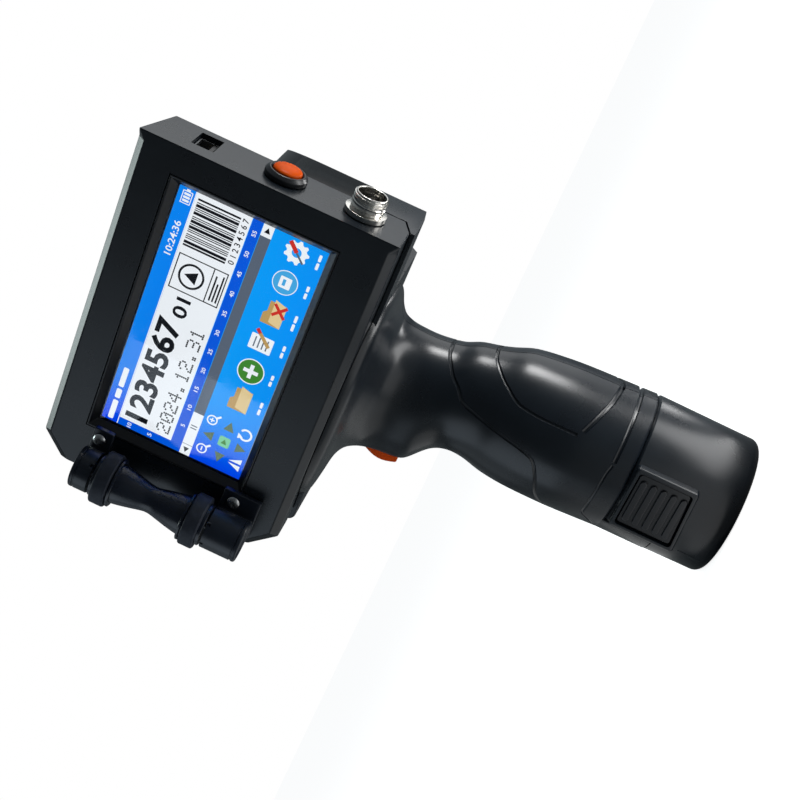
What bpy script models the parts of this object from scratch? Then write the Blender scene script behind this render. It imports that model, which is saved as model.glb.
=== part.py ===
"""A handheld thermal inkjet coder: a pistol grip with a drill-type battery, a screen housing on
its left, a cartridge pod behind the screen, and a guide roller beside the print face.

The frame is upright: +Z up the grip, +Y towards the printed surface, and -X out of the screen.
The origin is the centre of the battery's flat base. All sizes are in metres.
"""

import math

import bmesh
import bpy
from mathutils import Matrix, Vector

# Clearances and walls
GAP = 0.0003
RUNNING_GAP = 0.00005
WALL = 0.0025

# Display
DISPLAY_LENGTH = 0.0950
DISPLAY_HEIGHT = 0.0539
DISPLAY_RECESS = 0.0030
BEZEL_SLOPE = 0.0036
GLASS_BORDER = 0.0020
GLASS_THICKNESS = 0.0010
LCD_BORDER = 0.0052
LCD_THICKNESS = 0.0021
BOARD_THICKNESS = 0.0016

# Screen housing: its borders run from the lit display to its edges
BORDER_BACK = 0.0137
BORDER_FRONT = 0.0214
BORDER_TOP = 0.0178
BORDER_LOW = 0.0208
HOUSING_DEPTH = 0.0222
GRIP_TO_BACK = 0.0577
GRIP_TO_FACE = 0.0460
FACE_CHAMFER = 0.0029
FRONT_CUT_Y = 0.0071
FRONT_CUT_Z = 0.0090
BACK_PANEL_THICKNESS = 0.0020
BOARD_BEHIND_PANEL = 0.0080
BOARD_CLEAR = 0.0030

# Back face fittings: their middle from the housing's back edge, and their heights above its base
FITTINGS_FROM_BACK = 0.0098
BUTTON_UP = 0.0445
BUTTON_CAP_RADIUS = 0.0050
BUTTON_TRAVEL = 0.0012
BUTTON_RISE = 0.0030
BUTTON_DOME = 0.0015
SOCKET_UP = 0.0159
SOCKET_RADIUS = 0.0060
SOCKET_RISE = 0.0080
SOCKET_WALL = 0.0012
PORT_UP = 0.0725
PORT_WIDTH = 0.0117
PORT_HEIGHT = 0.0080
PORT_DEPTH = 0.0120
PORT_SHEET = 0.0005

# Ink cartridge and its cradle
CARTRIDGE_WIDTH = 0.0260
CARTRIDGE_LENGTH = 0.0700
CARTRIDGE_HEIGHT = 0.0765
CARTRIDGE_ROUND = 0.0040
CRADLE_WALL = 0.0030
SNOUT_WIDTH = 0.0120
SNOUT_HEIGHT = 0.0340
SNOUT_UP = 0.0240
PLATE_THICKNESS = 0.0012

# Rear body: room round the cartridge, flange and rear cover
ROOM_BESIDE = 0.0055
ROOM_AHEAD = 0.0025
ROOM_BEHIND = 0.0090
ROOM_OVER = 0.0025
ROOM_UNDER = 0.0060
POD_FRONT_STEP = 0.0024
POD_ROUND = 0.0030
FLANGE_DROP = 0.0018
FLANGE_HEIGHT = 0.0185
FLANGE_STEP = 0.0032
FLANGE_STEP_WIDTH = 0.0078
COVER_HEIGHT = 0.0395
COVER_ROUND = 0.0090
CORNER_SLANT_X = 0.0325
CORNER_SLANT_Y = 0.0137
FLARE_FROM_FRONT = 0.0119
FLARE_BACK = 0.0310

# Cartridge door
DOOR_THICKNESS = 0.0022
DOOR_PIN_RADIUS = 0.0009
DOOR_BARREL_RADIUS = 0.0021
DOOR_STRAP = 0.0040
HINGE_LEAF = 0.0068
HINGE_KNUCKLE = 0.0060

# Battery: three cells side by side in a tower that enters the grip, over a round base
CELL_RADIUS = 0.0091
CELL_LENGTH = 0.0650
CELL_GAP = 0.0002
CELL_SIDE_ROOM = 0.0005
CELL_TOP_ROOM = 0.0042
TOWER_WALL = 0.0019
TOWER_CLEAR = 0.0017
BATTERY_HEIGHT = 0.0400
BATTERY_EDGE = 0.0035
LID_THICKNESS = 0.0020
TERMINAL_HEIGHT = 0.0022
TONGUE_LENGTH = 0.0180
TONGUE_FRONT = 0.0132
TONGUE_WALL = 0.0021
LATCH_WIDTH = 0.0220
LATCH_HEIGHT = 0.0215
LATCH_FROM_TOP = 0.0023
LATCH_FRAME = 0.0016
LATCH_PLATE = 0.0026

# Grip and trigger
GRIP_LENGTH = 0.1010
TRIGGER_WIDTH = 0.0118
TRIGGER_HEIGHT = 0.0140
TRIGGER_FROM_FLANGE = 0.0252
TRIGGER_FORWARD = 0.0127
TRIGGER_PROUD = 0.0032
TRIGGER_DEPTH = 0.0080
TRIGGER_BOW = 0.0022
TRIGGER_TRAVEL = 0.0025
BOARD_UNDER_TRIGGER = 0.0082
SPRING_SEAT_RADIUS = 0.0028
SPRING_SEAT_DEPTH = 0.0040
SWITCH_CLEAR = 0.0030

# Guide roller
ROLLER_FROM_FACE = 0.0008
ROLLER_PROUD = 0.0019
TYRE_RADIUS = 0.0098
TYRE_DEPTH = 0.0020
TYRE_WIDTH = 0.0055
TYRE_SPACING = 0.0345
WAIST_RADIUS = 0.0049
ROLLER_UP = 0.0450
SHAFT_RADIUS = 0.0015
CAP_STEP = 0.0021
CAP_TOP_LENGTH = 0.0070
CAP_LOW_LENGTH = 0.0135
ROLLER_FOOT_CLEAR = 0.0015
FOOT_THICKNESS = 0.0022
ARM_HALF = 0.0040

# Screws
SCREW_HEAD_RADIUS = 0.0026
SCREW_SHANK_RADIUS = 0.0014
SCREW_HEAD_HEIGHT = 0.0012
SCREW_POCKET = 0.0016
SCREW_FROM_EDGE = 0.0100

# Places worked out from the sizes above
CELL_REACH = CELL_RADIUS * 2 / math.sqrt(3) + CELL_GAP
BORE_RADIUS = CELL_REACH + CELL_RADIUS + CELL_SIDE_ROOM
TOWER_RADIUS = BORE_RADIUS + TOWER_WALL
TOWER_TOP = WALL + GAP + CELL_LENGTH + CELL_TOP_ROOM
TERMINALS_Z = TOWER_TOP + 2 * GAP + LID_THICKNESS
BATTERY_RADIUS = TOWER_RADIUS + TOWER_CLEAR + WALL
TONGUE_BASE = BATTERY_HEIGHT - TONGUE_LENGTH
LATCH_TOP = BATTERY_HEIGHT - LATCH_FROM_TOP
LATCH_BASE = LATCH_TOP - LATCH_HEIGHT
LATCH_FACE = BATTERY_RADIUS + 0.0002
GRIP_BASE = BATTERY_HEIGHT + GAP
FLANGE_BASE = BATTERY_HEIGHT + GRIP_LENGTH
FLANGE_TOP = FLANGE_BASE + FLANGE_HEIGHT
COVER_TOP = FLANGE_TOP + COVER_HEIGHT
HOUSING_BASE = FLANGE_BASE + FLANGE_DROP
TOP_Z = HOUSING_BASE + BORDER_LOW + DISPLAY_HEIGHT + BORDER_TOP
FACE_X = -GRIP_TO_FACE
BACK_X = FACE_X + HOUSING_DEPTH
BACK_Y = -GRIP_TO_BACK
FRONT_Y = BACK_Y + BORDER_BACK + DISPLAY_LENGTH + BORDER_FRONT
DISPLAY_Y = BACK_Y + BORDER_BACK + DISPLAY_LENGTH / 2
DISPLAY_Z = HOUSING_BASE + BORDER_LOW + DISPLAY_HEIGHT / 2
GLASS_X = FACE_X + DISPLAY_RECESS
LCD_X = GLASS_X + GLASS_THICKNESS + GAP
BUTTON_SLEEVE_RADIUS = BUTTON_CAP_RADIUS + 0.0010
BUTTON_FLANGE_RADIUS = BUTTON_CAP_RADIUS + 0.0024
FITTINGS_X = BACK_X - FITTINGS_FROM_BACK
BUTTON_Z = HOUSING_BASE + BUTTON_UP
SOCKET_Z = HOUSING_BASE + SOCKET_UP
PORT_Z = HOUSING_BASE + PORT_UP
FLANGE_EDGE_X = BACK_X - FLANGE_STEP_WIDTH
POD_WIDTH = CARTRIDGE_WIDTH + 2 * (CRADLE_WALL + ROOM_BESIDE + WALL)
POD_LENGTH = CARTRIDGE_LENGTH + ROOM_AHEAD + ROOM_BEHIND + 2 * WALL
POD_X0 = BACK_X + GAP
POD_X1 = POD_X0 + POD_WIDTH
POD_Y1 = FRONT_Y - POD_FRONT_STEP
POD_Y0 = POD_Y1 - POD_LENGTH
CARTRIDGE_Y1 = POD_Y1 - WALL - ROOM_AHEAD
CARTRIDGE_Y0 = CARTRIDGE_Y1 - CARTRIDGE_LENGTH
CARTRIDGE_Z0 = FLANGE_BASE + WALL + ROOM_UNDER
POD_TOP = CARTRIDGE_Z0 + CARTRIDGE_HEIGHT + ROOM_OVER + WALL
SNOUT_Z = CARTRIDGE_Z0 + SNOUT_UP
DOOR_Y0, DOOR_Y1 = POD_Y0 + 0.0080, POD_Y1 - 0.0060
DOOR_Z0, DOOR_Z1 = FLANGE_TOP - 0.0080, POD_TOP - 0.0050
HINGE_X, HINGE_Y = POD_X1 + DOOR_BARREL_RADIUS + GAP, DOOR_Y0 - 0.0005
FLARE_TOP = HOUSING_BASE - GAP
FLARE_X0, FLARE_X1 = FACE_X + FACE_CHAMFER, POD_X1
FLARE_Y0, FLARE_Y1 = -FLARE_BACK, FRONT_Y - FLARE_FROM_FRONT
TRIGGER_BASE = FLANGE_BASE - TRIGGER_FROM_FLANGE
TRIGGER_MIDDLE = TRIGGER_BASE + TRIGGER_HEIGHT / 2
TRIGGER_REACH = TRIGGER_FORWARD + BATTERY_RADIUS - 0.0015 + TRIGGER_PROUD
CAP_RADIUS = TYRE_RADIUS - CAP_STEP
ROLLER_X = FACE_X - ROLLER_FROM_FACE - TYRE_RADIUS
ROLLER_Y = FRONT_Y + ROLLER_PROUD - TYRE_RADIUS
ROLLER_Z = HOUSING_BASE + ROLLER_UP
ROLLER_FOOT_Y = ROLLER_Y - ARM_HALF - SCREW_HEAD_RADIUS - ROLLER_FOOT_CLEAR
ROLLER_SCREW_OUT = (TYRE_SPACING + TYRE_WIDTH) / 2 + 0.0062
ROLLER_SCREW_Z = (ROLLER_Z - ROLLER_SCREW_OUT, ROLLER_Z + ROLLER_SCREW_OUT)

# Body screws in the right half: Y and Z
BODY_SCREWS = (
    (0.0, GRIP_BASE + SCREW_FROM_EDGE),
    (0.0020, TERMINALS_Z + 0.0174),
    (TRIGGER_FORWARD + 0.0040, TRIGGER_BASE + TRIGGER_HEIGHT + 0.0012),
    (BACK_Y + CORNER_SLANT_Y + 0.0070, FLANGE_BASE + 0.0090),
    (POD_Y1 - SCREW_FROM_EDGE, FLANGE_BASE + 0.0060))

parts = bpy.data.collections.new("Handheld_inkjet_coder")
cutters = bpy.data.collections.new("Cutters")


def start_empty_scene():
    for obj in list(bpy.data.objects):
        bpy.data.objects.remove(obj, do_unlink=True)
    for group in (parts, cutters):
        bpy.context.scene.collection.children.link(group)


def material(name, colour, roughness, metallic=0.0):
    """One Principled BSDF in one colour; a node shares it with others of the same stuff."""
    found = bpy.data.materials.get(name)
    if found:
        return found
    made = bpy.data.materials.new(name)
    made.use_nodes = True
    shader = made.node_tree.nodes["Principled BSDF"]
    shader.inputs["Base Color"].default_value = (*colour, 1.0)
    shader.inputs["Roughness"].default_value = roughness
    shader.inputs["Metallic"].default_value = metallic
    made.diffuse_color = (*colour, 1.0)
    return made


def shell_black():
    return material("shell_black", (0.012, 0.014, 0.017), 0.42)


def gloss_black():
    return material("gloss_black", (0.006, 0.006, 0.007), 0.14)


def frame_black():
    return material("frame_black", (0.008, 0.010, 0.014), 0.35)


def roller_black():
    return material("roller_black", (0.014, 0.017, 0.022), 0.38)


def rubber_black():
    return material("rubber_black", (0.018, 0.021, 0.026), 0.75)


def button_orange():
    return material("button_orange", (0.80, 0.11, 0.012), 0.35)


def nickel():
    return material("nickel", (0.72, 0.70, 0.66), 0.22, 1.0)


def steel():
    return material("steel", (0.55, 0.56, 0.57), 0.32, 1.0)


def board_green():
    return material("board_green", (0.015, 0.10, 0.045), 0.45)


def cartridge_black():
    return material("cartridge_black", (0.02, 0.02, 0.021), 0.3)


def cell_wrap():
    return material("cell_wrap", (0.03, 0.16, 0.38), 0.4)


def screen_glass():
    return material("screen_glass", (0.01, 0.10, 0.55), 0.08)


def insulator():
    return material("insulator", (0.03, 0.03, 0.032), 0.5)


def place(obj, stuff, smooth_angle=30):
    """Give a new object its material, its shading and its place in the model's collection."""
    obj.data.materials.clear()
    obj.data.materials.append(stuff())
    parts.objects.link(obj)
    obj.data.shade_smooth()
    obj.data.set_sharp_from_angle(angle=math.radians(smooth_angle))
    return obj


def as_cutter(obj):
    """Put a helper with the cutters, where it isn't part of the object."""
    cutters.objects.link(obj)
    obj.hide_render = True
    obj.display_type = "WIRE"
    return obj


def mesh_object(name, bm):
    bmesh.ops.recalc_face_normals(bm, faces=bm.faces)
    if bm.calc_volume(signed=True) < 0:
        bmesh.ops.reverse_faces(bm, faces=bm.faces)
    mesh = bpy.data.meshes.new(name)
    bm.to_mesh(mesh)
    bm.free()
    return bpy.data.objects.new(name, mesh)


def box(name, low, high):
    bm = bmesh.new()
    bmesh.ops.create_cube(bm, size=1.0)
    low, high = Vector(low), Vector(high)
    size = high - low
    middle = (low + high) / 2
    bm.transform(Matrix.Translation(middle) @ Matrix.Diagonal((*size, 1.0)))
    return mesh_object(name, bm)


def rod(name, start, end, radius, end_radius=None, segments=32):
    """A cylinder or cone from start to end."""
    bm = bmesh.new()
    start, end = Vector(start), Vector(end)
    along = end - start
    bmesh.ops.create_cone(
        bm, cap_ends=True, segments=segments, radius1=radius,
        radius2=radius if end_radius is None else end_radius, depth=along.length)
    turn = along.to_track_quat("Z", "Y").to_matrix().to_4x4()
    bm.transform(Matrix.Translation((start + end) / 2) @ turn)
    return mesh_object(name, bm)


def rounded(corners, radius, steps=5):
    """The outline with each corner turned into an arc of the radius."""
    points = []
    count = len(corners)
    for index, corner in enumerate(corners):
        here = Vector(corner)
        before = (Vector(corners[index - 1]) - here).normalized()
        after = (Vector(corners[(index + 1) % count]) - here).normalized()
        half = before.angle(after) / 2
        reach = radius / math.tan(half)
        start, end = here + before * reach, here + after * reach
        centre = here + (before + after).normalized() * (radius / math.sin(half))
        for step in range(steps + 1):
            spot = start.lerp(end, step / steps) - centre
            points.append(centre + spot.normalized() * radius)
    return points


def prism(name, outline, axis, low, high):
    """A flat outline filled and thickened along an axis from low to high.

    The outline's pairs are (x, y) along Z, (x, z) along Y, and (y, z) along X.
    """
    curve = bpy.data.curves.new(name, "CURVE")
    curve.dimensions = "2D"
    curve.fill_mode = "BOTH"
    curve.extrude = (high - low) / 2
    spline = curve.splines.new("POLY")
    spline.points.add(len(outline) - 1)
    for point, spot in zip(spline.points, outline):
        point.co = (spot[0], spot[1], 0.0, 1.0)
    spline.use_cyclic_u = True
    flat = bpy.data.objects.new(name, curve)
    bpy.context.scene.collection.objects.link(flat)
    graph = bpy.context.evaluated_depsgraph_get()
    mesh = bpy.data.meshes.new_from_object(flat.evaluated_get(graph))
    bpy.data.objects.remove(flat)
    bpy.data.curves.remove(curve)
    columns = {
        "Z": ((1, 0, 0), (0, 1, 0), (0, 0, 1)),
        "Y": ((1, 0, 0), (0, 0, 1), (0, -1, 0)),
        "X": ((0, 1, 0), (0, 0, 1), (1, 0, 0)),
    }[axis]
    turn = Matrix(columns).transposed().to_4x4()
    middle = {"Z": (0, 0, 1), "Y": (0, 1, 0), "X": (1, 0, 0)}[axis]
    mesh.transform(Matrix.Translation(Vector(middle) * (low + high) / 2) @ turn)
    bm = bmesh.new()
    bm.from_mesh(mesh)
    bpy.data.meshes.remove(mesh)
    bmesh.ops.remove_doubles(bm, verts=bm.verts, dist=1e-6)
    return mesh_object(name, bm)


def turned(name, profile, centre, axis="Z", steps=32):
    """A (radius, height) profile, top to bottom down its outer side, turned about an axis."""
    mesh = bpy.data.meshes.new(name)
    edges = [(index, index + 1) for index in range(len(profile) - 1)]
    if profile[0][0] > 0.0:
        edges.append((len(profile) - 1, 0))
    mesh.from_pydata([(radius, 0.0, height) for radius, height in profile], edges, [])
    helper = bpy.data.objects.new(name, mesh)
    bpy.context.scene.collection.objects.link(helper)
    screw = helper.modifiers.new("Turn", "SCREW")
    screw.steps = steps
    screw.render_steps = steps
    screw.use_merge_vertices = True
    screw.merge_threshold = 0.00001
    solid = baked(helper, name)
    turn = {
        "Z": Matrix.Identity(4),
        "Y": Matrix.Rotation(math.radians(90), 4, "X"),
        "X": Matrix.Rotation(math.radians(90), 4, "Y"),
    }[axis]
    solid.data.transform(Matrix.Translation(centre) @ turn)
    return solid


def baked(obj, name):
    """A new object with the evaluated mesh of the old one, which goes."""
    graph = bpy.context.evaluated_depsgraph_get()
    mesh = bpy.data.meshes.new_from_object(obj.evaluated_get(graph))
    mesh.name = name
    bpy.data.objects.remove(obj)
    bm = bmesh.new()
    bm.from_mesh(mesh)
    bmesh.ops.remove_doubles(bm, verts=bm.verts, dist=1e-7)
    bpy.data.meshes.remove(mesh)
    return mesh_object(name, bm)


def combine(obj, operation, *others):
    """The object after a Boolean with each of the others, which become hidden cutters."""
    name = obj.name
    bpy.context.scene.collection.objects.link(obj)
    for index, other in enumerate(others):
        if other.name not in cutters.objects:
            as_cutter(other)
        step = obj.modifiers.new(f"{operation.lower()}_{index}", "BOOLEAN")
        step.operation = operation
        step.solver = "EXACT"
        step.object = other
    solid = baked(obj, name)
    solid.name = name
    return solid


def cut(obj, *tools):
    return combine(obj, "DIFFERENCE", *tools)


def join(obj, *others):
    return combine(obj, "UNION", *others)


def loft(name, sections, points=36):
    """A closed solid through level rings, each (z, x, y, half width, half length, squareness)."""
    bm = bmesh.new()
    rings = []
    for height, centre_x, centre_y, half_x, half_y, power in sections:
        ring = []
        for index in range(points):
            angle = math.tau * index / points
            across, along = math.cos(angle), math.sin(angle)
            x = math.copysign(abs(across) ** (2 / power), across) * half_x
            y = math.copysign(abs(along) ** (2 / power), along) * half_y
            ring.append(bm.verts.new((centre_x + x, centre_y + y, height)))
        rings.append(ring)
    for lower, upper in zip(rings, rings[1:]):
        for index in range(points):
            after = (index + 1) % points
            bm.faces.new((lower[index], lower[after], upper[after], upper[index]))
    bm.faces.new(rings[0][::-1])
    bm.faces.new(rings[-1])
    return mesh_object(name, bm)


def screen_housing():
    """A tray open at its back, chamfered along the face's long edges and cut at its front corners."""
    chamfer_x = FACE_X + FACE_CHAMFER
    profile = [
        (FACE_X, HOUSING_BASE + FACE_CHAMFER), (chamfer_x, HOUSING_BASE),
        (FLANGE_EDGE_X, HOUSING_BASE), (BACK_X, HOUSING_BASE + FLANGE_STEP),
        (BACK_X, TOP_Z), (chamfer_x, TOP_Z), (FACE_X, TOP_Z - FACE_CHAMFER)]
    tray = prism("screen_housing", profile, "Y", BACK_Y, FRONT_Y)
    tools = [front_corner_cut("corner_top", TOP_Z, -1), front_corner_cut("corner_low", HOUSING_BASE, 1)]
    tools.append(prism("tray_hollow", tray_outline(WALL), "X", FACE_X + WALL, BACK_X + WALL))
    window_y = DISPLAY_LENGTH / 2 + BEZEL_SLOPE
    window_z = DISPLAY_HEIGHT / 2 + BEZEL_SLOPE
    tools.append(box(
        "display_window", (FACE_X - WALL, DISPLAY_Y - window_y, DISPLAY_Z - window_z),
        (FACE_X + 2 * WALL, DISPLAY_Y + window_y, DISPLAY_Z + window_z)))
    inside_y = BACK_Y + 2 * WALL
    outside_y = BACK_Y - WALL
    tools.append(rod(
        "button_hole", (FITTINGS_X, outside_y, BUTTON_Z), (FITTINGS_X, inside_y, BUTTON_Z),
        BUTTON_SLEEVE_RADIUS + GAP))
    tools.append(rod(
        "socket_hole", (FITTINGS_X, outside_y, SOCKET_Z), (FITTINGS_X, inside_y, SOCKET_Z),
        SOCKET_RADIUS))
    tools.append(box(
        "port_hole",
        (FITTINGS_X - PORT_WIDTH / 2, outside_y, PORT_Z - PORT_HEIGHT / 2),
        (FITTINGS_X + PORT_WIDTH / 2, inside_y, PORT_Z + PORT_HEIGHT / 2)))
    for height in ROLLER_SCREW_Z:
        tools.append(rod(
            "roller_screw_hole", (FACE_X - WALL, ROLLER_FOOT_Y, height),
            (FACE_X + 2 * WALL, ROLLER_FOOT_Y, height), SCREW_SHANK_RADIUS + GAP, segments=16))
    place(cut(tray, *tools), shell_black)


def front_corner_cut(name, corner_z, upward):
    """A wedge that takes off one front corner of the housing along its whole depth."""
    over = 0.0060
    slope = FRONT_CUT_Z / FRONT_CUT_Y
    outline = [
        (FRONT_Y - FRONT_CUT_Y - over, corner_z - upward * over * slope),
        (FRONT_Y + over, corner_z + upward * (FRONT_CUT_Z + over * slope)),
        (FRONT_Y + over, corner_z - upward * over * slope)]
    return prism(name, outline, "X", FACE_X - over, BACK_X + over)


def tray_outline(inset):
    """The housing's inside outline in Y and Z, at an inset from its outer walls."""
    low_y, high_y = BACK_Y + inset, FRONT_Y - inset
    low_z, high_z = HOUSING_BASE + FLANGE_STEP + inset, TOP_Z - inset
    cut_y, cut_z = FRONT_CUT_Y, FRONT_CUT_Z
    return [
        (low_y, low_z), (high_y - cut_y, low_z), (high_y, low_z + cut_z),
        (high_y, high_z - cut_z), (high_y - cut_y, high_z), (low_y, high_z)]


def display_parts():
    """The sloped bezel, the touch glass behind it, the LCD module and the main board."""
    outer_y = DISPLAY_LENGTH / 2 + BEZEL_SLOPE - GAP
    outer_z = DISPLAY_HEIGHT / 2 + BEZEL_SLOPE - GAP
    bezel_back = GLASS_X - GAP
    bezel = box(
        "display_bezel", (FACE_X, DISPLAY_Y - outer_y, DISPLAY_Z - outer_z),
        (bezel_back, DISPLAY_Y + outer_y, DISPLAY_Z + outer_z))
    lip = 0.0004
    opening = box("bezel_opening", (FACE_X - GAP, -0.5, -0.5), (bezel_back + GAP, 0.5, 0.5))
    for vertex in opening.data.vertices:
        front = vertex.co.x < FACE_X
        half_y = outer_y - lip if front else DISPLAY_LENGTH / 2
        half_z = outer_z - lip if front else DISPLAY_HEIGHT / 2
        vertex.co.y = DISPLAY_Y + math.copysign(half_y, vertex.co.y)
        vertex.co.z = DISPLAY_Z + math.copysign(half_z, vertex.co.z)
    place(cut(bezel, opening), frame_black)
    half_y = DISPLAY_LENGTH / 2 + GLASS_BORDER
    half_z = DISPLAY_HEIGHT / 2 + GLASS_BORDER
    place(box(
        "touch_glass", (GLASS_X, DISPLAY_Y - half_y, DISPLAY_Z - half_z),
        (GLASS_X + GLASS_THICKNESS, DISPLAY_Y + half_y, DISPLAY_Z + half_z)), screen_glass)
    half_y = DISPLAY_LENGTH / 2 + LCD_BORDER
    half_z = DISPLAY_HEIGHT / 2 + LCD_BORDER
    place(box(
        "lcd_panel", (LCD_X, DISPLAY_Y - half_y, DISPLAY_Z - half_z),
        (LCD_X + LCD_THICKNESS, DISPLAY_Y + half_y, DISPLAY_Z + half_z)), steel)
    board_x = BACK_X - BACK_PANEL_THICKNESS - BOARD_BEHIND_PANEL
    clear = BOARD_CLEAR
    place(box(
        "main_board",
        (board_x, BACK_Y + WALL + PORT_DEPTH + clear, HOUSING_BASE + FLANGE_STEP + WALL + clear),
        (board_x + BOARD_THICKNESS, FRONT_Y - FRONT_CUT_Y - WALL - clear, TOP_Z - WALL - clear)),
        board_green)
    panel = prism(
        "housing_back_panel", tray_outline(WALL + GAP), "X", BACK_X - BACK_PANEL_THICKNESS, BACK_X)
    place(panel, shell_black)


def power_button():
    """A round flanged bezel in the back wall, the domed cap in it, and the switch behind."""
    centre = (FITTINGS_X, BACK_Y, BUTTON_Z)
    rise, inner = BUTTON_RISE, BUTTON_CAP_RADIUS + GAP
    sleeve_end = -WALL - 0.0010
    bezel = [
        (BUTTON_FLANGE_RADIUS - 0.0008, rise), (BUTTON_FLANGE_RADIUS, rise - 0.0010),
        (BUTTON_FLANGE_RADIUS, GAP), (BUTTON_SLEEVE_RADIUS, GAP),
        (BUTTON_SLEEVE_RADIUS, sleeve_end), (inner, sleeve_end), (inner, rise)]
    place(turned("power_button_bezel", bezel, centre, "Y"), frame_black)
    dome, radius = BUTTON_DOME, BUTTON_CAP_RADIUS
    cap = [(0.0, rise + dome)]
    for step in range(1, 7):
        angle = math.radians(15 * step)
        cap.append((radius * math.sin(angle), rise + dome * math.cos(angle)))
    stem = 0.0014
    cap += [(radius, 0.0), (stem, 0.0), (stem, sleeve_end), (0.0, sleeve_end)]
    place(turned("power_button_cap", cap, centre, "Y"), button_orange)
    half = 0.0030
    front = BACK_Y - sleeve_end + BUTTON_TRAVEL + GAP
    place(box(
        "power_switch", (FITTINGS_X - half, front, BUTTON_Z - half),
        (FITTINGS_X + half, front + 0.0030, BUTTON_Z + half)), insulator)


def aviation_socket():
    """A round threaded metal socket, its nut inside the wall and its insulated core."""
    centre = (FITTINGS_X, BACK_Y, SOCKET_Z)
    thread = SOCKET_RADIUS - GAP
    bore = SOCKET_RADIUS - SOCKET_WALL
    inside = -WALL - 0.0050
    shell = [
        (SOCKET_RADIUS - 0.0003, SOCKET_RISE), (SOCKET_RADIUS, SOCKET_RISE - 0.0004),
        (SOCKET_RADIUS, 0.0022), (SOCKET_RADIUS + 0.0013, 0.0020),
        (SOCKET_RADIUS + 0.0013, GAP), (thread, GAP), (thread, inside), (bore, inside),
        (bore, SOCKET_RISE)]
    place(turned("aviation_socket", shell, centre, "Y"), nickel)
    nut_front = BACK_Y + WALL + GAP
    nut = rod(
        "aviation_nut", (FITTINGS_X, nut_front, SOCKET_Z), (FITTINGS_X, nut_front + 0.0022, SOCKET_Z),
        SOCKET_RADIUS + 0.0022, segments=6)
    hole = rod(
        "nut_hole", (FITTINGS_X, nut_front - WALL, SOCKET_Z), (FITTINGS_X, nut_front + WALL * 2, SOCKET_Z),
        thread + RUNNING_GAP)
    place(cut(nut, hole), nickel)
    place(rod(
        "aviation_core", (FITTINGS_X, BACK_Y - SOCKET_RISE + 0.0055, SOCKET_Z),
        (FITTINGS_X, BACK_Y - inside, SOCKET_Z), bore - GAP), insulator)


def data_port():
    """A square metal port in the back wall with its contact tongue."""
    half_x = PORT_WIDTH / 2 - GAP
    half_z = PORT_HEIGHT / 2 - GAP
    sheet = PORT_SHEET
    front, back = BACK_Y + GAP, BACK_Y + GAP + PORT_DEPTH
    shell = box(
        "data_port", (FITTINGS_X - half_x, front, PORT_Z - half_z),
        (FITTINGS_X + half_x, back, PORT_Z + half_z))
    mouth = box(
        "port_mouth", (FITTINGS_X - half_x + sheet, front - sheet, PORT_Z - half_z + sheet),
        (FITTINGS_X + half_x - sheet, back - sheet * 2, PORT_Z + half_z - sheet))
    place(cut(shell, mouth), nickel)
    place(box(
        "port_tongue",
        (FITTINGS_X - half_x * 0.7, front + 0.0015, PORT_Z - half_z + sheet + GAP),
        (FITTINGS_X + half_x * 0.7, back - sheet * 2 - GAP, PORT_Z - half_z + sheet + 0.0018)),
        insulator)


def grip_sections(inset):
    """Rings of the grip from its battery joint up to its flare, drawn in by the inset.

    Each row is a height, the centre in X and Y, the half width, the half length and the
    squareness. The grip narrows between the top of the battery's tower and the trigger.
    """
    r = BATTERY_RADIUS
    shoulder = TOWER_TOP + 0.0060

    def narrowing(share):
        return shoulder + (TRIGGER_MIDDLE - shoulder) * share

    rows = [
        (GRIP_BASE, 0.0, 0.0, r, r, 2.0),
        (TOWER_TOP - 0.0120, 0.0, 0.0010, r, r + 0.0001, 2.0),
        (TOWER_TOP - 0.0030, 0.0, 0.0013, r - 0.0006, r, 2.0),
        (shoulder, 0.0, 0.0017, r - 0.0018, r - 0.0004, 2.0),
        (narrowing(0.20), 0.0, 0.0020, r - 0.0039, r - 0.0014, 2.0),
        (narrowing(0.38), 0.0, 0.0027, r - 0.0066, r - 0.0040, 2.05),
        (narrowing(0.51), 0.0, 0.0035, r - 0.0078, r - 0.0050, 2.1),
        (narrowing(0.625), 0.0, 0.0052, r - 0.0082, r - 0.0046, 2.1),
        (narrowing(0.725), 0.0, 0.0090, r - 0.0079, r - 0.0033, 2.1),
        (narrowing(0.815), 0.0, 0.0118, r - 0.0074, r - 0.0014, 2.1),
        (TRIGGER_MIDDLE, -0.0002, TRIGGER_FORWARD, r - 0.0069, r - 0.0015, 2.1),
        (TRIGGER_MIDDLE + 0.0072, -0.0012, 0.0126, r - 0.0054, r - 0.0012, 2.15),
        (TRIGGER_MIDDLE + 0.0117, -0.0032, 0.0120, r - 0.0012, r - 0.0008, 2.3)]
    return [
        (z, x, y, half_x - inset, half_y - inset, power)
        for z, x, y, half_x, half_y, power in rows]


def flare_sections():
    """Rings that carry the grip out to a flat plate under the housing."""
    middle_x, half_x = (FLARE_X0 + FLARE_X1) / 2, (FLARE_X1 - FLARE_X0) / 2
    middle_y, half_y = (FLARE_Y0 + FLARE_Y1) / 2, (FLARE_Y1 - FLARE_Y0) / 2
    neck = grip_sections(0.0)[-1]

    def between(share, height, power):
        return (
            height, neck[1] + (middle_x - neck[1]) * share, neck[2] + (middle_y - neck[2]) * share,
            neck[3] + (half_x - neck[3]) * share, neck[4] + (half_y - neck[4]) * share, power)

    return [
        between(0.42, FLARE_TOP - 0.0052, 2.4), between(0.84, FLARE_TOP - 0.0038, 2.9),
        between(0.98, FLARE_TOP - 0.0024, 3.4), between(1.0, FLARE_TOP, 3.5)]


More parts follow.
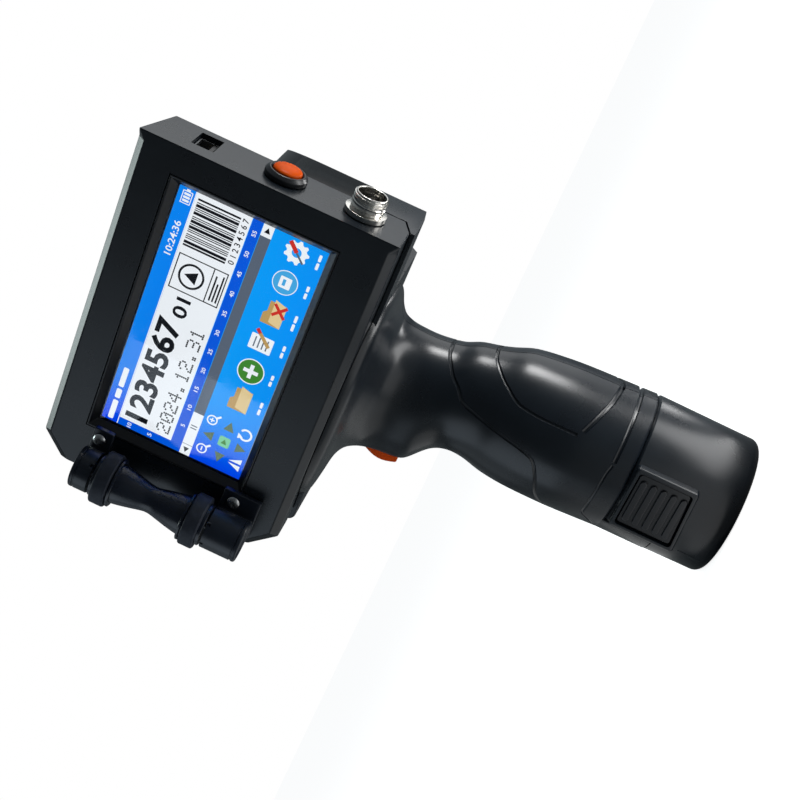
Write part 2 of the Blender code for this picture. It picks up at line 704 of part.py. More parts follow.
def rear_body():
    """The two clamshell halves that make the grip, the flange and the cartridge pod."""
    grip = loft("rear_body", grip_sections(0.0) + flare_sections())
    flange = prism("flange", [
        (FLANGE_EDGE_X + GAP, FLANGE_BASE), (FLANGE_EDGE_X + GAP, HOUSING_BASE - GAP),
        (POD_X0, HOUSING_BASE + FLANGE_STEP - GAP), (POD_X0, FLANGE_TOP), (POD_X1, FLANGE_TOP),
        (POD_X1, FLANGE_BASE)], "Y", BACK_Y, FLARE_Y1)
    pod = prism("pod", rounded([
        (POD_Y0, FLANGE_BASE + GAP), (POD_Y1, FLANGE_BASE + GAP), (POD_Y1, POD_TOP),
        (POD_Y0, POD_TOP)], POD_ROUND), "X", POD_X0, POD_X1)
    slant = slant_cutter("slant_flange")
    flange = cut(flange, slant, flange_corner_cutter())
    solid = join(grip, flange, pod)
    neck_top = grip_sections(WALL)[-1]
    channel_top = (FLANGE_BASE + 2 * WALL, *neck_top[1:])
    floor = (GRIP_BASE - WALL, *grip_sections(WALL)[0][1:])
    channel = loft("grip_hollow", [floor] + grip_sections(WALL) + [channel_top])
    pod_hollow = box(
        "pod_hollow", (POD_X0 + WALL, POD_Y0 + WALL, FLANGE_BASE + WALL),
        (POD_X1 - WALL, POD_Y1 - WALL, POD_TOP - WALL))
    flange_hollow = box(
        "flange_hollow", (POD_X0 + WALL, BACK_Y + CORNER_SLANT_Y + WALL, FLANGE_BASE + WALL),
        (POD_X1 - WALL, POD_Y0 + 2 * WALL, FLANGE_TOP + WALL))
    tools = [channel, pod_hollow, flange_hollow, trigger_window(), door_opening(), nozzle_window()]
    tools += [screw_hole(index) for index in range(len(BODY_SCREWS))]
    solid = cut(solid, *tools)
    solid = join(solid, grip_tongue())
    as_cutter(solid)
    far = 0.5
    seam = GAP / 2
    for name, low, high in (("body_left", -far, -seam), ("body_right", seam, far)):
        half = bpy.data.objects.new(name, solid.data.copy())
        keep = box(f"{name}_side", (low, -far, -far), (high, far, far))
        place(combine(half, "INTERSECT", keep), shell_black, 35)


def slant_cutter(name):
    """A tall wedge that slants the back right corner of the flange and the rear cover."""
    over = 0.0200
    slope = CORNER_SLANT_Y / CORNER_SLANT_X
    start_x, end_x = POD_X1 - CORNER_SLANT_X, POD_X1
    outline = [
        (start_x - over, BACK_Y - over * slope), (start_x - over, BACK_Y - 2 * over),
        (end_x + over, BACK_Y - 2 * over), (end_x + over, BACK_Y + CORNER_SLANT_Y + over * slope)]
    return prism(name, outline, "Z", FLANGE_BASE - over, POD_TOP + over)


def flange_corner_cutter():
    """A wedge along Y that bevels the flange's low right edge."""
    leg_x, leg_z, over = 0.0077 + CORNER_SLANT_X, 0.0031, 0.0100
    slope = leg_z / leg_x
    return prism("flange_corner", [
        (POD_X1 - leg_x - over, FLANGE_BASE - over * slope),
        (POD_X1 - leg_x - over, FLANGE_BASE - over), (POD_X1 + over, FLANGE_BASE - over),
        (POD_X1 + over, FLANGE_BASE + leg_z + over * slope)], "Y", BACK_Y - over, FLARE_Y0 - WALL)


def trigger_window():
    """The slot in the grip's front for the trigger."""
    half = TRIGGER_WIDTH / 2 + GAP
    return box(
        "trigger_window", (-half, TRIGGER_REACH - 0.0130, TRIGGER_BASE - GAP),
        (half, TRIGGER_REACH + 0.0100, TRIGGER_BASE + TRIGGER_HEIGHT + GAP))


def grip_tongue():
    """The front of the grip that runs down over the battery between its two latches."""
    r, wall = BATTERY_RADIUS, TONGUE_WALL
    start = math.asin((TONGUE_FRONT + GAP) / (r - wall))
    angles = [start + (math.pi - 2 * start) * step / 16 for step in range(17)]
    outline = [(math.cos(a) * r, math.sin(a) * r) for a in angles]
    outline += [(math.cos(a) * (r - wall), math.sin(a) * (r - wall)) for a in reversed(angles)]
    return prism("grip_tongue", outline, "Z", TONGUE_BASE, GRIP_BASE + 0.0040)


def screw_spot(index):
    """The seat of a body screw, just inside the right half's outer surface."""
    y, z = BODY_SCREWS[index]
    if z > FLANGE_BASE:
        return POD_X1 - SCREW_HEAD_HEIGHT, y, z
    rows = grip_sections(0.0) + flare_sections()
    for lower, upper in zip(rows, rows[1:]):
        if lower[0] <= z <= upper[0]:
            share = (z - lower[0]) / (upper[0] - lower[0])
            x, centre_y, half_x, half_y = (
                lower[column] + (upper[column] - lower[column]) * share for column in (1, 2, 3, 4))
            reach = half_x * math.sqrt(max(0.0, 1 - ((y - centre_y) / half_y) ** 2))
            return x + reach - SCREW_POCKET, y, z
    return POD_X1, y, z


def screw_hole(index):
    x, y, z = screw_spot(index)
    return rod(
        f"screw_hole_{index}", (x, y, z), (x + 0.0300, y, z), SCREW_HEAD_RADIUS + GAP, segments=20)


def body_screws():
    """Pan head screws that sit in shallow pockets in the right half."""
    for index in range(len(BODY_SCREWS)):
        x, y, z = screw_spot(index)
        head = SCREW_HEAD_HEIGHT
        profile = [
            (0.0, x + GAP + head), (SCREW_HEAD_RADIUS * 0.7, x + GAP + head * 0.85),
            (SCREW_HEAD_RADIUS, x + GAP + head * 0.4), (SCREW_HEAD_RADIUS, x + GAP),
            (0.0, x + GAP)]
        place(turned(f"body_screw_{index + 1}", profile, (0.0, y, z), "X", 20), steel)


def door_opening():
    return box(
        "door_opening", (POD_X1 - 2 * WALL, DOOR_Y0 - GAP, DOOR_Z0 - GAP),
        (POD_X1 + WALL, DOOR_Y1 + GAP, DOOR_Z1 + GAP))


def nozzle_window():
    half_x, half_z = SNOUT_WIDTH / 2 + 0.0010, SNOUT_HEIGHT / 2 + 0.0010
    return box(
        "nozzle_window", (-half_x, POD_Y1 - 2 * WALL, SNOUT_Z - half_z),
        (half_x, POD_Y1 + 2 * WALL, SNOUT_Z + half_z))


def cartridge_door():
    """A flat door flush with the pod's right side, on a pin hinge along its back edge."""
    door = box(
        "cartridge_door", (POD_X1 - DOOR_THICKNESS, DOOR_Y0, DOOR_Z0), (POD_X1, DOOR_Y1, DOOR_Z1))
    third = (DOOR_Z1 - DOOR_Z0) / 3
    low, high = DOOR_Z0 + third, DOOR_Z1 - third
    barrel = rod(
        "door_barrel", (HINGE_X, HINGE_Y, low), (HINGE_X, HINGE_Y, high), DOOR_BARREL_RADIUS,
        segments=24)
    strap = box(
        "door_strap", (POD_X1 - DOOR_THICKNESS / 2, HINGE_Y + GAP * 2, low),
        (HINGE_X, HINGE_Y + DOOR_STRAP, high))
    bore = rod(
        "door_bore", (HINGE_X, HINGE_Y, low - WALL), (HINGE_X, HINGE_Y, high + WALL),
        DOOR_PIN_RADIUS + RUNNING_GAP, segments=24)
    door = cut(join(door, strap, barrel), bore)
    place(door, gloss_black)
    pin_over = HINGE_KNUCKLE
    pin = rod(
        "door_hinge_pin", (HINGE_X, HINGE_Y, low - pin_over), (HINGE_X, HINGE_Y, high + pin_over),
        DOOR_PIN_RADIUS, segments=24)
    place(pin, steel)
    for name, start, end in (
            ("hinge_bracket_lower", low - pin_over, low - GAP),
            ("hinge_bracket_upper", high + GAP, high + pin_over)):
        knuckle = rod(
            name, (HINGE_X, HINGE_Y, start), (HINGE_X, HINGE_Y, end), DOOR_BARREL_RADIUS,
            segments=24)
        leaf = box(
            f"{name}_leaf", (POD_X1 + GAP, HINGE_Y - HINGE_LEAF, start), (HINGE_X, HINGE_Y - GAP, end))
        pin_hole = rod(
            f"{name}_hole", (HINGE_X, HINGE_Y, start - WALL), (HINGE_X, HINGE_Y, end + WALL),
            DOOR_PIN_RADIUS + RUNNING_GAP, segments=24)
        place(cut(join(knuckle, leaf), pin_hole), steel)


def rear_cover():
    """The gloss hood over the electronics behind the pod, slanted and rounded at its back."""
    low_z, front_y = FLANGE_TOP + GAP, POD_Y0 - GAP
    back_y = BACK_Y + GAP
    side = [(front_y, low_z), (front_y, COVER_TOP)]
    steps = 8
    for step in range(steps + 1):
        angle = math.radians(90 + 90 * step / steps)
        side.append((
            back_y + COVER_ROUND + COVER_ROUND * math.cos(angle),
            COVER_TOP - COVER_ROUND + COVER_ROUND * math.sin(angle)))
    side.append((back_y, low_z))
    inner = []
    for step in range(steps + 1):
        angle = math.radians(90 + 90 * step / steps)
        inner.append((
            back_y + COVER_ROUND + (COVER_ROUND - WALL) * math.cos(angle),
            COVER_TOP - COVER_ROUND + (COVER_ROUND - WALL) * math.sin(angle)))
    hollow = [(front_y - WALL, low_z - WALL), (front_y - WALL, COVER_TOP - WALL)] + inner
    hollow.append((back_y + WALL, low_z - WALL))
    cover = prism("rear_cover", side, "X", POD_X0, POD_X1)
    inside = prism("cover_hollow", hollow, "X", POD_X0 + WALL, POD_X1 - WALL)
    inner_slant = slant_cutter("slant_inside")
    inner_slant.data.transform(Matrix.Translation((0.0, WALL * 1.1, 0.0)))
    inside = cut(inside, inner_slant)
    place(cut(cover, slant_cutter("slant_cover"), inside), gloss_black)


def ink_parts():
    """The cartridge with its snout, its cradle and contact board, and the steel print plate."""
    half, y0 = CARTRIDGE_WIDTH / 2, CARTRIDGE_Y0
    outline = rounded([
        (y0, CARTRIDGE_Z0), (CARTRIDGE_Y1, CARTRIDGE_Z0),
        (CARTRIDGE_Y1, CARTRIDGE_Z0 + CARTRIDGE_HEIGHT), (y0, CARTRIDGE_Z0 + CARTRIDGE_HEIGHT)],
        CARTRIDGE_ROUND)
    body = prism("ink_cartridge", outline, "X", -half, half)
    snout = box(
        "snout", (-SNOUT_WIDTH / 2, CARTRIDGE_Y1 - WALL, SNOUT_Z - SNOUT_HEIGHT / 2),
        (SNOUT_WIDTH / 2, POD_Y1 + GAP + PLATE_THICKNESS, SNOUT_Z + SNOUT_HEIGHT / 2))
    place(join(body, snout), cartridge_black)
    cradle_half, cradle_y0 = half + CRADLE_WALL, y0 - CRADLE_WALL - 0.0010
    outer = box(
        "cartridge_cradle", (-cradle_half, cradle_y0, FLANGE_BASE + WALL + GAP),
        (cradle_half, CARTRIDGE_Y1, CARTRIDGE_Z0 + 0.0220))
    room = box(
        "cradle_room", (-half - GAP, y0 - 0.0018, CARTRIDGE_Z0 - GAP),
        (half + GAP, CARTRIDGE_Y1 + WALL, CARTRIDGE_Z0 + 0.0300))
    place(cut(outer, room), shell_black)
    place(box(
        "contact_board", (-half * 0.7, y0 - 0.0015, CARTRIDGE_Z0 + 0.0020),
        (half * 0.7, y0 - GAP, CARTRIDGE_Z0 + 0.0260)), board_green)
    margin = 0.0040
    plate = box(
        "print_plate", (POD_X0 + margin / 2, POD_Y1 + GAP, HOUSING_BASE + margin),
        (POD_X1 - margin / 2, POD_Y1 + GAP + PLATE_THICKNESS, POD_TOP - margin))
    place(cut(plate, nozzle_window()), steel)


def trigger_parts():
    """The trigger in the grip's front, its return spring and its microswitch."""
    top = TRIGGER_BASE + TRIGGER_HEIGHT
    stem_y = TRIGGER_REACH - TRIGGER_DEPTH
    lean = 0.0012
    bow = [(stem_y, TRIGGER_BASE), (TRIGGER_REACH - TRIGGER_BOW, TRIGGER_BASE)]
    steps = 8
    for step in range(1, steps):
        share = step / steps
        bow.append((
            TRIGGER_REACH - TRIGGER_BOW * (1 - math.sin(math.pi * share)) - lean * share,
            TRIGGER_BASE + TRIGGER_HEIGHT * share))
    bow += [(TRIGGER_REACH - TRIGGER_BOW - lean, top), (stem_y, top)]
    half = TRIGGER_WIDTH / 2
    seat_end = stem_y + SPRING_SEAT_DEPTH
    seat = rod(
        "spring_seat", (0, stem_y - GAP, TRIGGER_MIDDLE), (0, seat_end, TRIGGER_MIDDLE),
        SPRING_SEAT_RADIUS, segments=20)
    place(cut(prism("trigger_button", bow, "X", -half, half), seat), button_orange)
    coil_y0, coil_y1 = stem_y - SWITCH_CLEAR, seat_end - TRIGGER_TRAVEL - 2 * GAP
    wire, coil_radius, turns = 0.00035, 0.0021, 4
    curve = bpy.data.curves.new("trigger_spring", "CURVE")
    curve.dimensions = "3D"
    curve.bevel_depth = wire
    curve.bevel_resolution = 1
    curve.use_fill_caps = True
    count = turns * 10 + 1
    spline = curve.splines.new("POLY")
    spline.points.add(count - 1)
    for index, point in enumerate(spline.points):
        turn = math.tau * index / 10
        share = index / (count - 1)
        along = coil_y0 + wire + (coil_y1 - coil_y0 - 2 * wire) * share
        point.co = (
            coil_radius * math.cos(turn), along, TRIGGER_MIDDLE + coil_radius * math.sin(turn), 1.0)
    coil = bpy.data.objects.new("trigger_spring", curve)
    curve.materials.append(steel())
    parts.objects.link(coil)
    place(box(
        "trigger_switch", (-0.0032, coil_y0 - GAP - 0.0065, TRIGGER_MIDDLE - 0.0060),
        (0.0032, coil_y0 - GAP, TRIGGER_MIDDLE + 0.0060)), insulator)


def battery():
    """The pack: a round base with flat latch pads, a tower that enters the grip, and its cells."""
    r, edge = BATTERY_RADIUS, BATTERY_EDGE
    taper = 0.0004
    profile = [(0.0, BATTERY_HEIGHT), (r, BATTERY_HEIGHT)]
    for step in range(5):
        angle = math.radians(90 * step / 4)
        profile.append((
            r - taper - edge + edge * math.cos(angle), edge - edge * math.sin(angle)))
    profile.append((0.0, 0.0))
    base = turned("battery_shell", profile, (0, 0, 0), steps=48)
    tower = rod("tower", (0, 0, BATTERY_HEIGHT - WALL), (0, 0, TOWER_TOP), TOWER_RADIUS, segments=48)
    pads = [latch_pad(f"latch_pad_{side}", side) for side in (-1, 1)]
    shell = join(base, tower, *pads)
    ring = r + 0.0100
    notch = box("notch_block", (-ring, TONGUE_FRONT, TONGUE_BASE - GAP), (ring, ring, GRIP_BASE))
    keep = rod("notch_core", (0, 0, 0), (0, 0, TOWER_TOP), r - WALL - GAP, segments=48)
    notch = cut(notch, keep)
    hollow = rod(
        "base_hollow", (0, 0, WALL), (0, 0, TONGUE_BASE - GAP - WALL), r - WALL - 0.0004, segments=48)
    bore = rod(
        "cell_bore", (0, 0, WALL), (0, 0, TOWER_TOP + WALL), BORE_RADIUS, segments=48)
    windows = [latch_window(f"latch_window_{side}", side) for side in (-1, 1)]
    place(cut(shell, notch, hollow, bore, *windows), shell_black)
    for index in range(3):
        angle = math.radians(-90 + 120 * index)
        x, y = CELL_REACH * math.cos(angle), CELL_REACH * math.sin(angle)
        place(rod(
            f"battery_cell_{index + 1}", (x, y, WALL + GAP), (x, y, WALL + GAP + CELL_LENGTH),
            CELL_RADIUS, segments=28), cell_wrap)
    place(rod(
        "battery_lid", (0, 0, TOWER_TOP + GAP), (0, 0, TOWER_TOP + GAP + LID_THICKNESS),
        TOWER_RADIUS - 0.0012, segments=40), shell_black)
    low = TERMINALS_Z
    place(box(
        "battery_terminals", (-0.0080, -0.0050, low), (0.0080, 0.0050, low + TERMINAL_HEIGHT)), nickel)
    for side, word in ((-1, "left"), (1, "right")):
        latch_button(f"latch_button_{word}", side)
    contacts = low + TERMINAL_HEIGHT + GAP
    place(rod(
        "grip_contact_block", (0, 0, contacts), (0, 0, contacts + 0.0040),
        TOWER_RADIUS - 0.0032, segments=40), insulator)
    board_low = contacts + 0.0065
    place(box(
        "power_board", (-BOARD_THICKNESS / 2, -0.0100, board_low),
        (BOARD_THICKNESS / 2, 0.0160, TRIGGER_BASE - BOARD_UNDER_TRIGGER)), board_green)


def latch_outline(inset):
    """The latch's four-sided outline in Y and Z, narrower at its low edge."""
    half = LATCH_WIDTH / 2 - inset
    low, high = LATCH_BASE + inset, LATCH_TOP - inset
    return rounded([(-half, low + 0.0015), (half, low), (half, high), (-half, high)], 0.0012, 3)


def latch_pad(name, side):
    inner = LATCH_FACE - 0.0060
    low, high = sorted((side * inner, side * LATCH_FACE))
    return prism(name, latch_outline(-LATCH_FRAME), "X", low, high)


def latch_window(name, side):
    low, high = sorted((side * (BORE_RADIUS - GAP), side * (LATCH_FACE + WALL)))
    return prism(name, latch_outline(0.0), "X", low, high)


def latch_button(name, side):
    """A ribbed push plate that sits in its window, a little below the pad's face."""
    outer, inner = LATCH_FACE - 0.0010, LATCH_FACE - 0.0010 - LATCH_PLATE
    low, high = sorted((side * inner, side * outer))
    plate = prism(name, latch_outline(GAP + 0.0002), "X", low, high)
    ribs = []
    count, rib = 5, 0.0016
    pitch = (LATCH_HEIGHT - 0.0050) / (count - 1)
    for index in range(count):
        middle = LATCH_BASE + 0.0032 + pitch * index
        start, end = sorted((side * (outer - rib / 2), side * (outer + rib / 2)))
        half = LATCH_WIDTH / 2 - 0.0028
        ribs.append(box(
            f"{name}_rib_{index}", (start, -half, middle - rib / 2), (end, half, middle + rib / 2)))
    place(join(plate, *ribs), frame_black)


def roller():
    """The guide roller: shaft, double cone spool, two tyres, its end caps and its bracket."""
    x, y, z = ROLLER_X, ROLLER_Y, ROLLER_Z
    half_gap = TYRE_SPACING / 2
    spool_end = half_gap + TYRE_WIDTH / 2 + 0.0014
    seat = TYRE_RADIUS - TYRE_DEPTH
    flange = TYRE_RADIUS - 0.0009
    disc = 0.0011
    bore = SHAFT_RADIUS + RUNNING_GAP
    tyre_in, tyre_out = half_gap - TYRE_WIDTH / 2, half_gap + TYRE_WIDTH / 2
    cone = seat - 0.0006
    side = [
        (flange, tyre_in - GAP), (flange, tyre_in - GAP - disc), (cone, tyre_in - GAP - disc),
        (cone, tyre_in - GAP - disc - 0.0010), (WAIST_RADIUS, 0.0008)]
    profile = [(seat, spool_end), (seat, tyre_in - GAP)] + side
    profile += [(radius, -height) for radius, height in reversed(side)]
    profile += [(seat, -tyre_in + GAP), (seat, -spool_end), (bore, -spool_end), (bore, spool_end)]
    place(turned("roller_spool", profile, (x, y, z)), roller_black)
    for word, sign in (("upper", 1), ("lower", -1)):
        middle = sign * half_gap
        half = TYRE_WIDTH / 2
        round_off = 0.0005
        tyre = [
            (TYRE_RADIUS - round_off, middle + half), (TYRE_RADIUS, middle + half - round_off),
            (TYRE_RADIUS, middle - half + round_off), (TYRE_RADIUS - round_off, middle - half),
            (seat + RUNNING_GAP, middle - half), (seat + RUNNING_GAP, middle + half)]
        place(turned(f"roller_tyre_{word}", tyre, (x, y, z), steps=40), rubber_black)
    top_cap, low_cap = CAP_TOP_LENGTH, CAP_LOW_LENGTH
    inner = spool_end + 2 * GAP
    shaft_top, shaft_low = inner + top_cap - 0.0015, inner + low_cap - 0.0015
    place(rod(
        "roller_shaft", (x, y, z - shaft_low), (x, y, z + shaft_top), SHAFT_RADIUS, segments=24),
        steel)
    encoder_disc_z = z - inner - 0.0040
    disc_radius = CAP_RADIUS - 0.0022
    place(turned("encoder_disc", [
        (disc_radius, 0.0004), (disc_radius, -0.0004), (bore, -0.0004), (bore, 0.0004)],
        (x, y, encoder_disc_z)), steel)
    for word, sign, length in (("upper", 1, top_cap), ("lower", -1, low_cap)):
        cap = [
            (CAP_RADIUS - 0.0006, inner + length), (CAP_RADIUS, inner + length - 0.0006),
            (CAP_RADIUS, inner), (bore + 0.0001, inner), (bore + 0.0001, inner + 0.0010)]
        if sign < 0:
            cap += [
                (disc_radius + 0.0008, inner + 0.0010), (disc_radius + 0.0008, inner + 0.0070),
                (bore + 0.0001, inner + 0.0070)]
        cap = [(0.0, inner + length)] + cap
        cap += [(bore + 0.0001, inner + length - 0.0012), (0.0, inner + length - 0.0012)]
        if sign < 0:
            cap = [(radius, -height) for radius, height in reversed(cap)]
        solid = turned(f"roller_cap_{word}", cap, (x, y, z), steps=32)
        place(solid, roller_black)
    arms = []
    foot_low, foot_high = FACE_X - GAP - FOOT_THICKNESS, FACE_X - GAP
    for word, sign, length in (("upper", 1, top_cap), ("lower", -1, low_cap)):
        start, end = sorted((z + sign * (inner + GAP * 2), z + sign * (inner + length - 0.0008)))
        arm = box(f"arm_{word}", (x, y - ARM_HALF, start), (foot_high, y + ARM_HALF, end))
        foot_start, foot_end = (start - 0.0010, end + 0.0010)
        foot = box(
            f"roller_bracket_{word}", (foot_low, ROLLER_FOOT_Y - ARM_HALF, foot_start),
            (foot_high, y + ARM_HALF, foot_end))
        clear = rod(
            f"cap_room_{word}", (x, y, start - 0.0100), (x, y, end + 0.0100), CAP_RADIUS + GAP)
        arms.append(cut(join(foot, arm), clear))
    for arm in arms:
        place(arm, roller_black)
    for index, height in enumerate(ROLLER_SCREW_Z):
        head = [
            (0.0, 0.0011), (SCREW_HEAD_RADIUS * 0.7, 0.0009), (SCREW_HEAD_RADIUS * 0.9, 0.0003),
            (SCREW_HEAD_RADIUS * 0.9, 0.0), (0.0, 0.0)]
        screw = turned(f"roller_screw_{index + 1}", head, (0, 0, 0), "X", 16)
        turn = Matrix.Rotation(math.pi, 4, "Z")
        spot = Matrix.Translation((foot_low - GAP, ROLLER_FOOT_Y, height))
        screw.data.transform(spot @ turn)
        place(screw, steel)


start_empty_scene()
screen_housing()
display_parts()
power_button()
aviation_socket()
data_port()
rear_body()
rear_cover()
cartridge_door()
ink_parts()
body_screws()
trigger_parts()
battery()
roller()
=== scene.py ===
"""The looks of a handheld inkjet coder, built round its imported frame.

The frame is upright: +Z up the grip, +Y towards the printed surface, -X out of the screen.
Lengths are in metres unless a name says otherwise.
"""

import math
import random

import bmesh
import bpy
import numpy as np
from mathutils import Matrix, Vector


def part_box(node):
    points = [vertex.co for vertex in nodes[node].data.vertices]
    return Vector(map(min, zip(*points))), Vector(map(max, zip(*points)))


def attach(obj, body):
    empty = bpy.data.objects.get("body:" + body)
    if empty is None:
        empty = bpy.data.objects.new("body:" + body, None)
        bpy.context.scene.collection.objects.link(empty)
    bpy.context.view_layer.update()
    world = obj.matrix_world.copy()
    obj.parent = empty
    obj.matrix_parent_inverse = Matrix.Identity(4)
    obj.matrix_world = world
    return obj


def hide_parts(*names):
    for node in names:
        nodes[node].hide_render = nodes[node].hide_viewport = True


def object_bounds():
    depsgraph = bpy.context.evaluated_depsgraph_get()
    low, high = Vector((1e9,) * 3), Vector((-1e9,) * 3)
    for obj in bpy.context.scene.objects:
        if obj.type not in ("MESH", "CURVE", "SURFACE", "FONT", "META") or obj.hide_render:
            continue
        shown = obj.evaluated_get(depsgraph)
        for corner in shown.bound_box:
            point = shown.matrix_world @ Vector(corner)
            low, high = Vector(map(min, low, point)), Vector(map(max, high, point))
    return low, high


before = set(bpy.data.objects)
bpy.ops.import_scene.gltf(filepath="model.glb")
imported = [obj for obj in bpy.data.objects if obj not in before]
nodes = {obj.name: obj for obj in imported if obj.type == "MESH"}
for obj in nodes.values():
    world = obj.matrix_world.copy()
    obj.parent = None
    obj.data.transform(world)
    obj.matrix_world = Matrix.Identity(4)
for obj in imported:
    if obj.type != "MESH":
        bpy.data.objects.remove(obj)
frame_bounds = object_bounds()


# Stage: a pale floor, a white surround that the camera sees, soft boxes over, behind and beside
# the coder, and small lit cards on the floor under it. The surround that lights it is bright
# behind and dim on the screen's side.
def feed(tree, node, sockets):
    """Give each of the node's sockets its value, or the output that feeds it."""
    for socket, source in sockets.items():
        if isinstance(source, bpy.types.NodeSocket):
            tree.links.new(source, node.inputs[socket])
        else:
            node.inputs[socket].default_value = source


def add_node(tree, kind, sockets=None, **traits):
    node = tree.nodes.new(kind)
    for trait, value in traits.items():
        setattr(node, trait, value)
    feed(tree, node, sockets or {})
    return node


def ranged(tree, source, low, high, to_low=0.0, to_high=1.0, **traits):
    """A value's range stretched over another range."""
    sockets = {"Value": source, "From Min": low, "From Max": high, "To Min": to_low, "To Max": to_high}
    return add_node(tree, "ShaderNodeMapRange", sockets, **traits).outputs["Result"]


def new_material(name, sockets):
    """A material whose shader has these values on its own sockets."""
    stuff = bpy.data.materials.new(name)
    stuff.use_nodes = True
    shader = stuff.node_tree.nodes["Principled BSDF"]
    feed(stuff.node_tree, shader, sockets)
    return stuff, stuff.node_tree, shader


def stage_material(name, seen_shade, lit_shade, glow):
    """The floor is pale to the eye, and darker in what it throws back up at the coder."""
    stuff, tree, shader = new_material(
        name, {"Roughness": 0.9, "Specular IOR Level": 0.0, "Emission Color": (1.0, 1.0, 1.0, 1.0)})
    seen = add_node(tree, "ShaderNodeLightPath").outputs["Is Camera Ray"]
    feed(tree, shader, {
        "Emission Strength": ranged(tree, seen, 0.0, 1.0, 0.0, glow),
        "Base Color": ranged(tree, seen, 0.0, 1.0, lit_shade, seen_shade)})
    return stuff


floor_half = 6.0
bpy.ops.mesh.primitive_plane_add(size=2 * floor_half, location=(0.0, 0.0, 0.0))
floor = bpy.context.object
floor.name = "studio_floor"
floor.data.materials.append(stage_material("Pale floor", 0.80, 0.30, 0.86))

world = bpy.data.worlds.new("Studio surround")
bpy.context.scene.world = world
world.use_nodes = True
sky = world.node_tree
for node in list(sky.nodes):
    sky.nodes.remove(node)
toward = add_node(sky, "ShaderNodeTexCoord").outputs["Generated"]
behind = add_node(sky, "ShaderNodeVectorMath", {0: toward, 1: (0.92, -0.37, 0.10)}, operation="DOT_PRODUCT")
brightness = ranged(
    sky, behind.outputs["Value"], -0.60, 0.95, 0.06, 0.26, interpolation_type="SMOOTHSTEP")
lit = add_node(sky, "ShaderNodeBackground", {"Strength": brightness, "Color": (0.82, 0.93, 1.0, 1.0)})
seen_white = add_node(sky, "ShaderNodeBackground", {"Color": (1.0, 1.0, 1.0, 1.0)})
ray = add_node(sky, "ShaderNodeLightPath").outputs["Is Camera Ray"]
mix = add_node(sky, "ShaderNodeMixShader", {0: ray, 1: lit.outputs[0], 2: seen_white.outputs[0]})
add_node(sky, "ShaderNodeOutputWorld", {"Surface": mix.outputs[0]})


def softbox(name, spot, aim, width, height, power, colour=(1.0, 1.0, 1.0)):
    lamp = bpy.data.lights.new(name, "AREA")
    lamp.shape = "RECTANGLE"
    lamp.size, lamp.size_y = width, height
    lamp.energy = power
    lamp.color = colour
    box_light = bpy.data.objects.new(name, lamp)
    bpy.context.scene.collection.objects.link(box_light)
    box_light.location = spot
    box_light.visible_camera = False
    facing = Vector(aim) - Vector(spot)
    box_light.rotation_euler = facing.to_track_quat("-Z", "Y").to_euler()
    return box_light


middle = (frame_bounds[0] + frame_bounds[1]) / 2
softbox("back_strip", (0.26, -0.97, 0.33), middle, 0.30, 0.34, 6.6)
for name, x, y, width, depth, turned_by, power in (
        ("grip_card", 0.015, -0.20, 0.08, 0.30, 8, 0.42), ("neck_card", 0.19, -0.15, 0.09, 0.08, 0, 0.22),
        ("side_card", -0.11, -0.03, 0.16, 0.14, 0, 0.05), ("front_card", -0.05, 0.17, 0.26, 0.22, 0, 0.09)):
    card = softbox(name, (x, y, 0.004), (x, y, 1.0), width, depth, power)
    card.rotation_euler = (math.pi, 0.0, math.radians(turned_by))
softbox("back_panel", (0.95, -0.80, 0.22), middle, 0.70, 0.90, 2.5)
softbox("overhead", (0.05, 0.42, 1.15), middle, 0.50, 0.50, 3.6, (0.86, 1.0, 0.98))
softbox("screen_fill", (-0.70, 0.82, 0.25), middle, 0.75, 0.75, 1.9, (0.76, 0.88, 1.0))
softbox("front_fill", (-0.10, 1.10, 0.35), middle, 0.60, 0.60, 0.35, (0.80, 0.92, 1.0))

camera_data = bpy.data.cameras.new("Camera")
camera_data.sensor_width = 36.0
camera_data.lens = 69.7
camera_data.clip_start = 0.05
camera = bpy.data.objects.new("Camera", camera_data)
bpy.context.scene.collection.objects.link(camera)
camera_back = Vector((-0.8800, -0.4743, -0.0222)).normalized()
camera_up = Vector((0.4222, -0.8020, 0.4225))
camera_right = camera_up.cross(camera_back).normalized()
camera_up = camera_back.cross(camera_right)
turn = Matrix((camera_right, camera_up, camera_back)).transposed().to_4x4()
camera.matrix_world = Matrix.Translation((-0.5018, -0.2534, 0.1114)) @ turn
bpy.context.scene.camera = camera
bpy.context.scene.view_settings.view_transform = "Standard"


# Screen housing: one injection moulded tray in charcoal ABS with a fine spark-eroded grain, its
# edges broken by small radii, and a chamfer along the face's long edges that stops short of the
# back wall.
def shader_group(name, inputs, outputs):
    """An effect that several finishes share, with its input sockets and their first values."""
    group = bpy.data.node_groups.new(name, "ShaderNodeTree")
    for label, value in inputs.items():
        kind = "NodeSocketColor" if isinstance(value, tuple) else "NodeSocketFloat"
        group.interface.new_socket(name=label, in_out="INPUT", socket_type=kind).default_value = value
    for label, kind in outputs.items():
        group.interface.new_socket(name=label, in_out="OUTPUT", socket_type="NodeSocket" + kind)
    return group, add_node(group, "NodeGroupInput").outputs


def maths(tree, operation, *terms):
    return add_node(tree, "ShaderNodeMath", dict(enumerate(terms)), operation=operation).outputs[0]


def object_place(tree):
    return add_node(tree, "ShaderNodeTexCoord").outputs["Object"]


def noise(tree, place, scale, detail=2.0, distortion=0.0):
    sockets = {"Vector": place, "Scale": scale, "Detail": detail, "Distortion": distortion}
    return add_node(tree, "ShaderNodeTexNoise", sockets).outputs["Fac"]


def mixed(tree, share, first, second):
    return add_node(tree, "ShaderNodeMix", {0: share, 6: first, 7: second}, data_type="RGBA").outputs[2]


